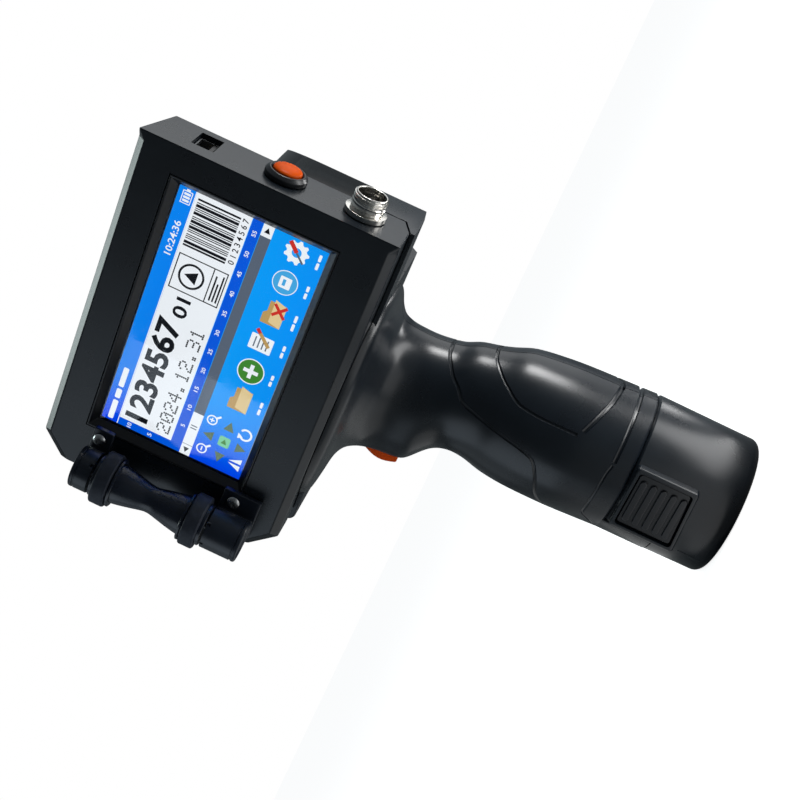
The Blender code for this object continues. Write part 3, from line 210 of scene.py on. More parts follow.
def tinted(tree, colour, share):
    return add_node(tree, "ShaderNodeVectorMath", {0: colour, "Scale": share},
        operation="SCALE").outputs["Vector"]


def bumped(tree, height, depth):
    return add_node(
        tree, "ShaderNodeBump", {"Strength": 1.0, "Distance": depth, "Height": height}).outputs["Normal"]


def grain_group():
    """Grain in the height, with slow changes of tone and gloss, as a moulded surface has."""
    group, given = shader_group("Moulded grain", {
        "Color": (0.02, 0.02, 0.02, 1.0), "Tone Change": 0.2, "Roughness": 0.4, "Gloss Change": 0.06,
        "Grain Size": 0.0004, "Grain Depth": 0.000004},
        {"Color": "Color", "Roughness": "Float", "Normal": "Vector"})
    place, change = object_place(group), given["Tone Change"]
    slow = noise(group, place, 70.0, 4.0)
    fine = noise(group, place, maths(group, "DIVIDE", 1.0, given["Grain Size"]))
    tone = ranged(
        group, slow, 0.3, 0.7, maths(group, "SUBTRACT", 1.0, change), maths(group, "ADD", 1.0, change))
    centred = maths(group, "SUBTRACT", slow, 0.5)
    add_node(group, "NodeGroupOutput", {
        "Color": tinted(group, given["Color"], tone),
        "Roughness": maths(group, "MULTIPLY_ADD", centred, given["Gloss Change"], given["Roughness"]),
        "Normal": bumped(group, fine, given["Grain Depth"])})
    return group


def edge_wear_and_highlight_group():
    """Edges rubbed by handling, and a painted edge highlight: raised edges paler and smoother, in broken
    patches.
    """
    group, given = shader_group("Rubbed edges", {
        "Color": (0.02, 0.02, 0.02, 1.0), "Rubbed Color": (0.06, 0.06, 0.06, 1.0), "Roughness": 0.4,
        "Amount": 0.5}, {"Color": "Color", "Roughness": "Float"})
    # Raised edges, found by pointiness, turn paler: partly rubbed by handling, partly a painted edge
    # highlight.
    edge = ranged(group, add_node(group, "ShaderNodeNewGeometry").outputs["Pointiness"], 0.56, 0.68)
    broken = ranged(group, noise(group, object_place(group), 240.0, 5.0), 0.45, 0.65)
    dose = maths(group, "MULTIPLY", maths(group, "MULTIPLY", edge, broken), given["Amount"])
    add_node(group, "NodeGroupOutput", {
        "Color": mixed(group, dose, given["Color"], given["Rubbed Color"]),
        "Roughness": maths(group, "MULTIPLY_ADD", dose, -0.12, given["Roughness"])})
    return group


moulded_grain, rubbed_and_highlit_edges = grain_group(), edge_wear_and_highlight_group()


def moulding(name, colour, roughness, grain_size=0.0004, grain_depth=0.000004, tone=0.15,
             gloss_change=0.06, edge_wear_and_highlight=0.4, specular=0.5, metallic=0.0):
    """A material for a moulded, cast or pressed surface: grain, slow tone, and edges made paler by rubbing
    and a painted highlight.
    """
    stuff, tree, shader = new_material(name, {"Specular IOR Level": specular, "Metallic": metallic})
    grain = add_node(tree, "ShaderNodeGroup", {
        "Color": (*colour, 1.0), "Tone Change": tone, "Roughness": roughness, "Gloss Change": gloss_change,
        "Grain Size": grain_size, "Grain Depth": grain_depth}, node_tree=moulded_grain).outputs
    # The paler colour on raised edges stands for rubbed plastic and for a painted edge highlight.
    paler = [min(1.0, 0.03 + 1.3 * channel) for channel in colour]
    rub = add_node(tree, "ShaderNodeGroup", {
        "Color": grain["Color"], "Rubbed Color": (*paler, 1.0), "Roughness": grain["Roughness"],
        "Amount": edge_wear_and_highlight}, node_tree=rubbed_and_highlit_edges).outputs
    feed(tree, shader, {
        "Base Color": rub["Color"], "Roughness": rub["Roughness"], "Normal": grain["Normal"]})
    return stuff


def from_bmesh(name, bm):
    """A linked object from a bmesh, with its faces turned outwards."""
    bmesh.ops.remove_doubles(bm, verts=bm.verts, dist=1e-7)
    bmesh.ops.recalc_face_normals(bm, faces=bm.faces)
    if bm.calc_volume(signed=True) < 0:
        bmesh.ops.reverse_faces(bm, faces=bm.faces)
    mesh = bpy.data.meshes.new(name)
    bm.to_mesh(mesh)
    bm.free()
    made = bpy.data.objects.new(name, mesh)
    bpy.context.scene.collection.objects.link(made)
    return made


def block(name, low, high):
    bm = bmesh.new()
    bmesh.ops.create_cube(bm, size=1.0)
    low, high = Vector(low), Vector(high)
    bm.transform(Matrix.Translation((low + high) / 2) @ Matrix.Diagonal((*(high - low), 1.0)))
    return from_bmesh(name, bm)


def slab(name, outline, axis, low, high):
    """A flat outline made solid along an axis; pairs are (y, z) along X, (x, z) along Y, (x, y)
    along Z."""
    bm = bmesh.new()
    place = {
        "X": lambda a, b, c: (c, a, b), "Y": lambda a, b, c: (a, c, b), "Z": lambda a, b, c: (a, b, c),
    }[axis]
    rings = [[bm.verts.new(place(a, b, c)) for a, b in outline] for c in (low, high)]
    bm.faces.new(rings[0])
    bm.faces.new(rings[1])
    for index in range(len(outline)):
        after = (index + 1) % len(outline)
        bm.faces.new((rings[0][index], rings[0][after], rings[1][after], rings[1][index]))
    return from_bmesh(name, bm)


def plain_mesh(piece):
    """Replace the object's mesh by the evaluated one, so that no modifier is left on it."""
    graph = bpy.context.evaluated_depsgraph_get()
    mesh = bpy.data.meshes.new_from_object(piece.evaluated_get(graph))
    mesh.name = piece.name
    piece.modifiers.clear()
    piece.data = mesh
    return piece


def carve(piece, cutters, operation="DIFFERENCE"):
    for cutter in cutters:
        step = piece.modifiers.new("Carve", "BOOLEAN")
        step.operation, step.solver, step.object = operation, "EXACT", cutter
    plain_mesh(piece)
    for cutter in cutters:
        bpy.data.objects.remove(cutter)
    return piece


def softened(piece, width, segments=3, angle=30):
    """Round the piece's edges, as the mould or a tumbler leaves them."""
    step = piece.modifiers.new("Soft edges", "BEVEL")
    step.width, step.segments = width, segments
    step.limit_method, step.angle_limit = "ANGLE", math.radians(angle)
    step.harden_normals = False
    step.use_clamp_overlap = True
    return plain_mesh(piece)


def fasten(piece, body, slot, stuff, *stands_for, angle=32):
    """Give a finished piece its material and shading, and let it ride on its body."""
    piece.data.materials.clear()
    piece.data.materials.append(stuff)
    piece.data.shade_smooth()
    piece.data.set_sharp_from_angle(angle=math.radians(angle))
    flats = piece.modifiers.new("Flat faces stay flat", "WEIGHTED_NORMAL")
    flats.keep_sharp = True
    plain_mesh(piece)
    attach(piece, body)
    if stands_for:
        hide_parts(*stands_for)
    return piece


charcoal = moulding("Charcoal ABS", (0.0058, 0.0090, 0.0132), 0.28)
face_low, face_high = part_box("screen_housing")
bezel_low, bezel_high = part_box("display_bezel")
glass_low, glass_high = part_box("touch_glass")
flange_step, flange_edge = 0.0032, face_high.x - 0.0078
chamfer, chamfer_stop = 0.0029, 0.0036
corner_y, corner_z = 0.0071, 0.0090
wall = 0.0025
top_slope = 0.0048


def housing_shell():
    """The tray's skin: a face ring inside the chamfers, the cut front corners, and open back."""
    bm = bmesh.new()
    y0, y1, z0, z1 = face_low.y, face_high.y, face_low.z, face_high.z
    stop = y0 + chamfer_stop
    face = [
        (y0, z0), (stop, z0 + chamfer), (y1 - corner_y - 0.6 * chamfer, z0 + chamfer),
        (y1 - 0.0004, z0 + corner_z + chamfer), (y1 - 0.0004, z1 - corner_z - chamfer),
        (y1 - corner_y - 0.6 * chamfer, z1 - chamfer), (stop, z1 - chamfer), (y0, z1)]
    edge = [
        (y0, z0), (stop, z0), (y1 - corner_y, z0), (y1, z0 + corner_z), (y1, z1 - corner_z),
        (y1 - corner_y, z1), (stop, z1), (y0, z1)]
    front = [bm.verts.new((face_low.x, y, z)) for y, z in face]
    rim_x = [face_low.x + (chamfer if 0 < index < 7 else 0.0) for index in range(8)]
    rim_x[3] = rim_x[4] = face_low.x + 0.0012
    rim = [
        front[index] if index in (0, 7) else bm.verts.new((rim_x[index], *edge[index]))
        for index in range(8)]
    lower = {0, 1, 2}
    bend = [
        bm.verts.new((flange_edge, *edge[index])) if index in lower else rim[index]
        for index in range(8)]
    upper = {5, 6, 7}
    lift = [flange_step if i in lower else -top_slope if i in upper else 0.0 for i in range(8)]
    back = [bm.verts.new((face_high.x, y, z + rise)) for (y, z), rise in zip(edge, lift)]
    bm.faces.new(front)
    for rings in ((front, rim), (rim, bend), (bend, back)):
        for index in range(8):
            after = (index + 1) % 8
            ring = []
            for vertex in (rings[0][index], rings[0][after], rings[1][after], rings[1][index]):
                if vertex not in ring:
                    ring.append(vertex)
            if len(ring) > 2:
                bm.faces.new(ring)
    bm.faces.new(back)
    return from_bmesh("housing_shell", bm)


shell = housing_shell()
softened(shell, 0.00045, 3, 12)
step_up = flange_step + wall


def under_slope(name, below, start_x):
    """A tall wedge over the sloping top, below it by a distance, that trims what lies inside."""
    lean = top_slope / (face_high.x - face_low.x - chamfer)
    start_z = face_high.z - below - lean * (start_x - face_low.x - chamfer)
    over_x = face_high.x + 0.010
    return slab(name, [
        (start_x, start_z), (over_x, start_z - lean * (over_x - start_x)), (over_x, face_high.z + 0.01),
        (start_x, face_high.z + 0.01)], "Y", face_low.y - 0.01, face_high.y + 0.01)


hollow = slab("housing_hollow", [
    (face_low.y + wall, face_low.z + step_up), (face_high.y - wall - corner_y, face_low.z + step_up),
    (face_high.y - wall, face_low.z + step_up + corner_z),
    (face_high.y - wall, face_high.z - wall - corner_z),
    (face_high.y - wall - corner_y, face_high.z - wall), (face_low.y + wall, face_high.z - wall)],
    "X", face_low.x + wall, face_high.x + wall)
carve(hollow, [under_slope("hollow_slope", wall, face_low.x)])
window = block(
    "housing_window", (face_low.x - wall, bezel_low.y - 0.0003, bezel_low.z - 0.0003),
    (face_low.x + 2 * wall, bezel_high.y + 0.0003, bezel_high.z + 0.0003))
openings = [hollow, window]
port_low, port_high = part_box("data_port")
openings.append(block(
    "port_hole", (port_low.x - 0.0003, face_low.y - wall, port_low.z - 0.0003),
    (port_high.x + 0.0003, face_low.y + 2 * wall, port_high.z + 0.0003)))


def round_cutter(name, x, z, radius, depth):
    bm = bmesh.new()
    bmesh.ops.create_cone(
        bm, cap_ends=True, segments=64, radius1=radius, radius2=radius, depth=2 * depth)
    spot = Matrix.Translation((x, face_low.y, z))
    bm.transform(spot @ Matrix.Rotation(math.pi / 2, 4, "X"))
    return from_bmesh(name, bm)


button_low, button_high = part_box("power_button_bezel")
button_x, button_z = (button_low.x + button_high.x) / 2, (button_low.z + button_high.z) / 2
socket_low, socket_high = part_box("aviation_socket")
socket_x, socket_z = (socket_low.x + socket_high.x) / 2, (socket_low.z + socket_high.z) / 2
openings.append(round_cutter("button_hole", button_x, button_z, 0.0063, 2 * wall))
openings.append(round_cutter("socket_hole", socket_x, socket_z, 0.0061, 2 * wall))
carve(shell, openings)
fasten(shell, "housing", "shell_black", charcoal, "screen_housing")


def from_node(name, node, edge=0.0003, segments=2, angle=35):
    """A copy of a frame solid, merged, its flat faces joined, and its edges rounded."""
    bm = bmesh.new()
    bm.from_mesh(nodes[node].data)
    bmesh.ops.remove_doubles(bm, verts=bm.verts, dist=1e-6)
    bmesh.ops.dissolve_limit(
        bm, angle_limit=math.radians(0.8), use_dissolve_boundaries=False, verts=bm.verts, edges=bm.edges)
    made = from_bmesh(name, bm)
    if edge:
        softened(made, edge, segments, angle)
    return made


# Display bezel: a thin moulded frame in black ABS whose four inner faces slope down to the glass,
# pressed into the housing's window. It has a finer, glossier finish than the housing.
bezel_plastic = moulding(
    "Bezel black ABS", (0.0085, 0.0100, 0.0130), 0.30, grain_size=0.0003, grain_depth=0.0000015, edge_wear_and_highlight=0.3)
bezel = from_node("bezel", "display_bezel", 0.00022, 3)
fasten(bezel, "housing", "frame_black", bezel_plastic, "display_bezel")


# Touch glass: a clear sheet with the faint smears that fingers leave, over the display. It is
# bonded behind the bezel with a thin black border.
def stretched(tree, scale):
    """Object coordinates, closer together by the scale."""
    return add_node(tree, "ShaderNodeMapping",
        {"Vector": object_place(tree), "Scale": scale}).outputs["Vector"]


def smeared_glass():
    stuff, tree, shader = new_material(
        "Touch glass", {"Base Color": (0.98, 0.99, 1.0, 1.0), "Transmission Weight": 1.0, "IOR": 1.45})
    smear = noise(tree, stretched(tree, (1.0, 1.0, 3.0)), 34.0, 6.0, 1.6)
    feed(tree, shader, {"Roughness": ranged(tree, smear, 0.42, 0.75, 0.015, 0.10)})
    return stuff


glass = from_node("glass", "touch_glass", 0.0001, 2)
fasten(glass, "housing", "screen_glass", smeared_glass(), "touch_glass")


# Display module: a stamped metal tray holding the panel. Everything that the panel shows is made
# as very thin lit layers on its front, with a fine grid of dots over their colours.
def lit_material(name, top, bottom=None):
    """A lit colour, or a fade down the screen to a second colour and to deep blue at its left."""
    stuff, tree, shader = new_material(name, {
        "Base Color": (0.0, 0.0, 0.0, 1.0), "Roughness": 0.6, "Specular IOR Level": 0.1,
        "Emission Strength": 1.0})
    parts = add_node(tree, "ShaderNodeSeparateXYZ", {0: object_place(tree)}).outputs
    fade = ranged(tree, parts["Z"], lit_corner.z - lit_height / 1000, lit_corner.z)
    colour = mixed(tree, fade, (*(bottom or top), 1.0), (*top, 1.0))
    if bottom:
        left_fade = ranged(
            tree, parts["Y"], lit_corner.y - 0.026, lit_corner.y + 0.004, interpolation_type="SMOOTHSTEP")
        colour = mixed(tree, left_fade, colour, (0.0, 0.045, 0.82, 1.0))
    dots = add_node(tree, "ShaderNodeGroup", {"Color": colour}, node_tree=dot_grid)
    feed(tree, shader, {"Emission Color": dots.outputs["Color"]})
    return stuff


def dot_grid_group():
    """The thin dark lines between a display's dots, and a slow unevenness of its backlight."""
    group, given = shader_group(
        "Display dots", {"Color": (1.0, 1.0, 1.0, 1.0), "Pitch": 0.00012}, {"Color": "Color"})
    place = object_place(group)
    parts = add_node(group, "ShaderNodeSeparateXYZ", {0: place}).outputs
    lines = []
    for axis in ("Y", "Z"):
        wave = maths(group, "PINGPONG", maths(group, "DIVIDE", parts[axis], given["Pitch"]), 0.5)
        lines.append(ranged(group, wave, 0.0, 0.12, 0.86, 1.0))
    uneven = ranged(group, noise(group, place, 18.0), 0.3, 0.7, 0.96, 1.04)
    total = maths(group, "MULTIPLY", maths(group, "MULTIPLY", *lines), uneven)
    add_node(group, "NodeGroupOutput", {"Color": tinted(group, given["Color"], total)})
    return group


dot_grid = dot_grid_group()
lit_length, lit_height = 95.0, 53.9
lcd_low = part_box("lcd_panel")[0]
lit_corner = Vector((
    lcd_low.x, (glass_low.y + glass_high.y) / 2 + lit_length / 2000,
    (glass_low.z + glass_high.z) / 2 + lit_height / 2000))
film = 0.00004
layers = {}


def on_screen(across, down, level=0.0):
    """A spot on the display, in millimetres from its upper left corner as the user sees it."""
    return (lit_corner.x - level * film, lit_corner.y - across / 1000, lit_corner.z - down / 1000)


def shape(colour, level, outline):
    """Add one thin layer with this outline to all that is shown in the colour."""
    bm = layers.setdefault(colour, bmesh.new())
    rings = [[bm.verts.new(on_screen(a, d, step)) for a, d in outline] for step in (level, level + 0.8)]
    bm.faces.new(rings[0])
    bm.faces.new(rings[1][::-1])
    for index in range(len(outline)):
        after = (index + 1) % len(outline)
        bm.faces.new((rings[0][after], rings[0][index], rings[1][index], rings[1][after]))


def bar(colour, level, left, top, right, bottom, corner=0.0):
    if not corner:
        shape(colour, level, [(left, top), (right, top), (right, bottom), (left, bottom)])
        return
    outline = []
    for across, down, start in (
            (right - corner, top + corner, -90), (right - corner, bottom - corner, 0),
            (left + corner, bottom - corner, 90), (left + corner, top + corner, 180)):
        for step in range(5):
            angle = math.radians(start + 22.5 * step)
            outline.append((across + corner * math.cos(angle), down + corner * math.sin(angle)))
    shape(colour, level, outline)


def disc(colour, level, across, down, radius, sides=36):
    turns = [math.tau * index / sides for index in range(sides)]
    shape(colour, level, [(across + radius * math.cos(a), down + radius * math.sin(a)) for a in turns])


def arrow(colour, level, across, down, size, heading):
    """A plain triangle whose point faces the heading, in degrees clockwise from up."""
    outline = []
    for reach, turn in ((1.0, 0), (1.0, 125), (1.0, 235)):
        angle = math.radians(heading + turn)
        outline.append((across + size * reach * math.sin(angle), down - size * reach * math.cos(angle)))
    shape(colour, level, outline)


def stroke(colour, level, points, width):
    """A line of the width through the points, as a run of short blocks."""
    for (a0, d0), (a1, d1) in zip(points, points[1:]):
        length = math.hypot(a1 - a0, d1 - d0)
        side_a, side_d = (d1 - d0) / length * width / 2, -(a1 - a0) / length * width / 2
        shape(colour, level, [
            (a0 + side_a, d0 + side_d), (a1 + side_a, d1 + side_d), (a1 - side_a, d1 - side_d),
            (a0 - side_a, d0 - side_d)])


def arc(across, down, radius, start, end, steps=14):
    points = []
    for step in range(steps + 1):
        angle = math.radians(start + (end - start) * step / steps)
        points.append((across + radius * math.cos(angle), down + radius * math.sin(angle)))
    return points


def digits(colour, level, words, left, top, right, bottom, weight=0.012):
    """Plain figures stretched to fill a box on the display."""
    words_curve = bpy.data.curves.new("figures", "FONT")
    words_curve.body = words
    words_curve.resolution_u = 3
    words_curve.offset = weight
    words_curve.extrude = 0.5
    helper = bpy.data.objects.new("figures", words_curve)
    bpy.context.scene.collection.objects.link(helper)
    graph = bpy.context.evaluated_depsgraph_get()
    mesh = bpy.data.meshes.new_from_object(helper.evaluated_get(graph))
    bpy.data.objects.remove(helper)
    spots = np.empty(len(mesh.vertices) * 3)
    mesh.vertices.foreach_get("co", spots)
    spots = spots.reshape(-1, 3)
    low, high = spots.min(axis=0), spots.max(axis=0)
    share = (spots - low) / (high - low)
    placed = [
        on_screen(left + (right - left) * a, bottom + (top - bottom) * b, level + 0.8 * c)
        for a, b, c in share]
    mesh.vertices.foreach_set("co", np.array(placed).ravel())
    bm = layers.setdefault(colour, bmesh.new())
    bm.from_mesh(mesh)
    bpy.data.meshes.remove(mesh)


def node_tree(name, **inputs):
    """A Geometry Nodes tree with these named inputs after its geometry, and their sockets."""
    group = bpy.data.node_groups.new(name, "GeometryNodeTree")
    group.interface.new_socket(name="Geometry", in_out="OUTPUT", socket_type="NodeSocketGeometry")
    for label, kind in {"Geometry": "Geometry", **inputs, "Material": "Material"}.items():
        group.interface.new_socket(name=label, in_out="INPUT", socket_type="NodeSocket" + kind)
    return group, add_node(group, "NodeGroupInput").outputs


def finish_tree(group, geometry, given):
    """End a tree with its instances made real and its material set."""
    real = add_node(group, "GeometryNodeRealizeInstances", {0: geometry}).outputs[0]
    dress = add_node(group, "GeometryNodeSetMaterial", {"Geometry": real, "Material": given["Material"]})
    add_node(group, "NodeGroupOutput", {0: dress.outputs[0]})
    return group


def grown(name, group, values, spots=((0.0, 0.0, 0.0),), joined=()):
    """Run a tree on a mesh of these points, and keep the result as a plain mesh."""
    mesh = bpy.data.meshes.new(name)
    mesh.from_pydata([tuple(spot) for spot in spots], list(joined), [])
    made = bpy.data.objects.new(name, mesh)
    bpy.context.scene.collection.objects.link(made)
    step = made.modifiers.new("Nodes", "NODES")
    step.node_group = group
    for item in group.interface.items_tree:
        if item.in_out == "INPUT" and item.name in values:
            step[item.identifier] = values[item.name]
    return plain_mesh(made)


def copies_tree():
    """One copy of a shape at every point given, each turned the same way."""
    group, given = node_tree("Copies at points", Shape="Object", Turn="Vector")
    pattern = add_node(group, "GeometryNodeObjectInfo", {"Object": given["Shape"]}).outputs["Geometry"]
    points = add_node(group, "GeometryNodeMeshToPoints", {"Mesh": given["Geometry"]}).outputs[0]
    put = add_node(group, "GeometryNodeInstanceOnPoints", {
        "Points": points, "Instance": pattern, "Rotation": given["Turn"]})
    return finish_tree(group, put.outputs[0], given)


copies = copies_tree()


def copied(name, pattern, spots, turn=(0.0, 0.0, 0.0), stuff=None):
    """Copies of the pattern piece, which goes, at the spots."""
    made = grown(name, copies, {"Shape": pattern, "Turn": turn, "Material": stuff}, spots)
    bpy.data.objects.remove(pattern)
    return made


screen_blue = ((0.0, 0.42, 1.0), (0.0, 0.30, 0.97))
bar("blue", 0, 0.0, 0.0, lit_length, lit_height)
bar("pale blue", 1, 0.0, 0.0, lit_length, 5.9)
bar("white", 2, 0.0, 5.9, lit_length, 6.2)
for left, right in ((0.8, 8.6), (9.6, 13.4), (14.4, 22.4)):
    bar("white", 2, left, 2.1, right, 4.1, 0.5)
digits("white", 2, "10:24:36", 69.6, 2.0, 82.5, 4.5)
stroke("white", 2, [(89.2, 1.7), (93.6, 1.7), (93.6, 5.0), (89.2, 5.0), (89.2, 1.5)], 0.3)
for left in (89.8, 91.0, 92.2):
    bar("white", 2, left, 2.2, left + 0.8, 4.5)
bar("white", 2, 93.7, 2.7, 94.4, 4.0)
bar("deep blue", 1, 0.0, 6.2, 2.9, 26.7)
digits("white", 2, "10", 0.4, 9.6, 2.3, 11.2)
digits("white", 2, "5", 0.7, 17.6, 1.9, 19.2)
bar("white", 1, 2.9, 6.25, lit_length, 26.3)
digits("black", 2, "1234567", 4.6, 7.5, 47.5, 16.4, 0.03)
digits("black", 2, "01", 49.2, 11.3, 56.7, 16.6, 0.02)
for side in ((58.75, 7.1, 59.15, 25.4), (71.9, 7.1, 72.3, 25.4), (58.75, 7.1, 72.3, 7.5),
             (58.75, 25.0, 72.3, 25.4), (58.75, 20.1, 72.3, 20.5)):
    bar("black", 2, *side)
stroke("black", 2, arc(65.5, 13.6, 4.3, 0, 360, 36), 0.8)
arrow("black", 2, 65.5, 13.9, 2.9, 0)
for top, right in ((21.5, 69.8), (22.7, 67.2), (23.9, 70.6)):
    bar("black", 2, 60.2, top, right, top + 0.6)
chance = random.Random(7)
left = 75.2
while left < 93.6:
    thick = chance.choice((0.35, 0.35, 0.70, 1.05))
    bar("black", 2, left, 7.2, min(left + thick, 94.2), 22.7)
    left += thick + chance.choice((0.35, 0.35, 0.70))
digits("black", 2, "0 1 2 3 4 5 6 7", 76.0, 23.4, 93.4, 25.6)
bar("deep blue", 1, 0.0, 26.5, lit_length, 30.2)
for index in range(1, 12):
    mark_at = 2.9 + 7.9 * index
    if mark_at < 93.0:
        word = str(5 * index)
        digits("white", 2, word, mark_at - 0.55 * len(word), 27.7, mark_at + 0.55 * len(word), 29.2)
bar("grey", 1, 0.0, 30.4, lit_length, 34.3)
bar("white", 2, 0.0, 30.4, 4.2, 34.3)
arrow("black", 3, 2.3, 32.35, 1.3, -90)
bar("white", 2, 4.4, 30.4, 17.9, 34.3)
bar("grey", 3, 11.2, 31.2, 11.6, 33.5)
bar("grey", 3, 12.3, 31.2, 12.7, 33.5)
bar("white", 2, 90.4, 30.4, lit_length, 34.3)
arrow("black", 3, 92.6, 32.35, 1.3, 90)
for across in (5.4, 17.9):
    stroke("white", 1, arc(across, 37.5, 1.75, 0, 360, 24), 0.5)
    stroke("white", 1, [(across + 1.3, 38.8), (across + 2.6, 40.2)], 0.75)
    stroke("white", 1, [(across - 0.9, 37.5), (across + 0.9, 37.5)], 0.45)
stroke("white", 1, [(17.9, 36.6), (17.9, 38.4)], 0.45)
for across, down, heading in ((11.7, 38.4, 0), (5.4, 44.2, -90), (17.9, 44.2, 90), (11.7, 50.1, 180)):
    arrow("olive", 1, across, down, 2.4, heading)
bar("pale green", 2, 9.6, 42.1, 13.8, 46.3, 0.7)
arrow("green", 3, 11.6, 44.2, 1.3, 90)
for turn in (3.7, 7.1):
    near, far = (5.4 + (turn - 5.4) * share for share in (0.25, 1.5))
    shape("white", 1, [(near, 48.0), (near, 52.6), (far, 52.6)])
stroke("white", 1, arc(17.9, 50.4, 2.1, -60, 220, 22), 0.75)
arrow("white", 1, 16.7, 48.4, 1.3, 60)
shape("tan", 1, [(25.6, 40.4), (29.4, 40.4), (30.4, 41.6), (34.4, 41.6), (34.4, 47.6), (25.6, 47.6)])
shape("sand", 2, [(26.6, 43.2), (35.4, 43.2), (34.2, 47.6), (25.6, 47.6)])
disc("white", 1, 42.1, 43.9, 4.9)
disc("green", 2, 42.1, 43.9, 4.5)
bar("white", 3, 39.4, 43.2, 44.8, 44.6)
bar("white", 3, 41.4, 41.2, 42.8, 46.6)
bar("white", 1, 50.6, 39.6, 56.6, 47.8, 0.4)
for down in (41.2, 42.7, 44.2, 45.7):
    bar("grey", 2, 51.6, down, 55.6, down + 0.45)
stroke("tan", 3, [(53.2, 46.6), (58.0, 41.4)], 1.3)
stroke("red", 4, [(57.2, 42.3), (58.6, 40.8)], 1.3)
shape("tan", 1, [(61.4, 40.4), (65.2, 40.4), (66.2, 41.6), (70.2, 41.6), (70.2, 47.6), (61.4, 47.6)])
shape("sand", 2, [(62.4, 43.2), (71.2, 43.2), (70.0, 47.6), (61.4, 47.6)])
stroke("red", 3, [(65.4, 43.4), (69.8, 47.9)], 1.1)
stroke("red", 3, [(65.4, 47.9), (69.8, 43.4)], 1.1)
disc("white", 1, 78.3, 43.8, 4.5)
disc("ball blue", 2, 78.3, 43.8, 4.2)
bar("white", 3, 76.2, 41.8, 80.4, 45.9, 0.4)
bar("ball blue", 4, 77.1, 42.9, 79.5, 44.0)
teeth = 9
gear_outline = []
for index in range(teeth * 4):
    angle = math.tau * index / (teeth * 4)
    radius = 4.4 if index % 4 < 2 else 3.5
    gear_outline.append((90.0 + radius * math.cos(angle), 43.8 + radius * math.sin(angle)))
shape("white", 1, gear_outline)
disc("sky", 2, 90.0, 43.8, 1.7)
stroke("grey", 3, [(87.0, 46.9), (90.0, 43.8)], 0.7)
stroke("red", 3, [(90.0, 43.8), (93.2, 40.6)], 1.5)
for across, half in ((30.2, 2.6), (42.1, 2.2), (54.2, 2.4), (65.9, 3.0), (78.3, 2.4), (90.1, 2.8)):
    bar("white", 1, across - half, 51.2, across - 0.3, 52.2, 0.3)
    bar("white", 1, across + 0.3, 51.2, across + half, 52.2, 0.3)
screen_colours = {
    "blue": screen_blue, "pale blue": ((0.0, 0.245, 0.93), (0.0, 0.10, 0.90)),
    "deep blue": ((0.0, 0.10, 0.75), None), "sky": ((0.02, 0.36, 0.98), None),
    "white": ((0.92, 0.96, 1.0), None), "black": ((0.004, 0.005, 0.008), None),
    "grey": ((0.10, 0.13, 0.18), None), "green": ((0.05, 0.25, 0.03), None),
    "tan": ((0.52, 0.33, 0.11), None), "sand": ((0.78, 0.60, 0.30), None),
    "red": ((0.62, 0.03, 0.02), None), "ball blue": ((0.06, 0.40, 0.78), None),
    "olive": ((0.10, 0.17, 0.09), None), "pale green": ((0.20, 0.62, 0.34), None)}
for colour, bm in layers.items():
    top, bottom = screen_colours[colour]
    word = colour.replace(" ", "_")
    layer = from_bmesh(f"display_{word}", bm)
    stuff = lit_material(f"Lit {colour}", top, bottom)
    fasten(layer, "housing", "screen_glass", stuff, *(["lcd_panel"] if colour == "blue" else []))

# The date line on the display is drawn in round dots, five across and seven down, as the print
# head lays them: one thin disc is copied to every dot.
dot_rows = {
    "0": "01110 10001 10011 10101 11001 10001 01110", "1": "00100 01100 00100 00100 00100 00100 01110",
    "2": "01110 10001 00001 00110 01000 10000 11111", "3": "11110 00001 00001 01110 00001 00001 11110",
    "4": "00010 00110 01010 10010 11111 00010 00010", ".": "00000 00000 00000 00000 00000 01100 01100"}
dot_pitch = 0.74
dots = []
for place_index, figure in enumerate("2024.12.31"):
    for row, pattern in enumerate(dot_rows[figure].split()):
        for column, mark in enumerate(pattern):
            if mark == "1":
                across = 4.9 + (place_index * 6 + column) * dot_pitch
                dots.append(on_screen(across, 20.0 + row * dot_pitch, 2.4))
lit_black = bpy.data.materials["Lit black"]
bm = bmesh.new()
bmesh.ops.create_cone(
    bm, cap_ends=True, segments=8, radius1=0.00037, radius2=0.00037, depth=0.8 * film,
    matrix=Matrix.Rotation(math.pi / 2, 4, "Y"))
date_dots = copied("display_date_dots", from_bmesh("dot", bm), dots, stuff=lit_black)
fasten(date_dots, "housing", "screen_glass", lit_black)
lcd_frame = from_node("display_module", "lcd_panel", 0.0002)
pressed_steel = moulding(
    "Pressed steel", (0.50, 0.51, 0.52), 0.34, grain_size=0.0002, grain_depth=0.000001, tone=0.08,
    edge_wear_and_highlight=0.2, metallic=1.0)
fasten(lcd_frame, "housing", "module_metal", pressed_steel, "lcd_panel")


# Power button: a flanged ring in black ABS, snapped into the back wall, round a domed cap in
# orange ABS that slides in it.
def turned(name, profile, centre, axis="Z", steps=96):
    """A closed (radius, height) profile turned about an axis through the centre."""
    bm = bmesh.new()
    loops = []
    for radius, height in profile:
        if radius == 0.0:
            loops.append([bm.verts.new((0.0, 0.0, height))] * steps)
        else:
            loops.append([bm.verts.new((
                radius * math.cos(math.tau * i / steps), radius * math.sin(math.tau * i / steps), height))
                for i in range(steps)])
    pairs = list(zip(loops, loops[1:]))
    if profile[0][0] > 0.0:
        pairs.append((loops[-1], loops[0]))
    for first, second in pairs:
        for index in range(steps):
            after = (index + 1) % steps
            ring = []
            for vertex in (first[index], first[after], second[after], second[index]):
                if vertex not in ring:
                    ring.append(vertex)
            if len(ring) > 2:
                bm.faces.new(ring)
    turn = {
        "Z": Matrix.Identity(4), "Y": Matrix.Rotation(math.pi / 2, 4, "X"),
        "X": Matrix.Rotation(math.pi / 2, 4, "Y")}[axis]
    bm.transform(Matrix.Translation(centre) @ turn)
    return from_bmesh(name, bm)


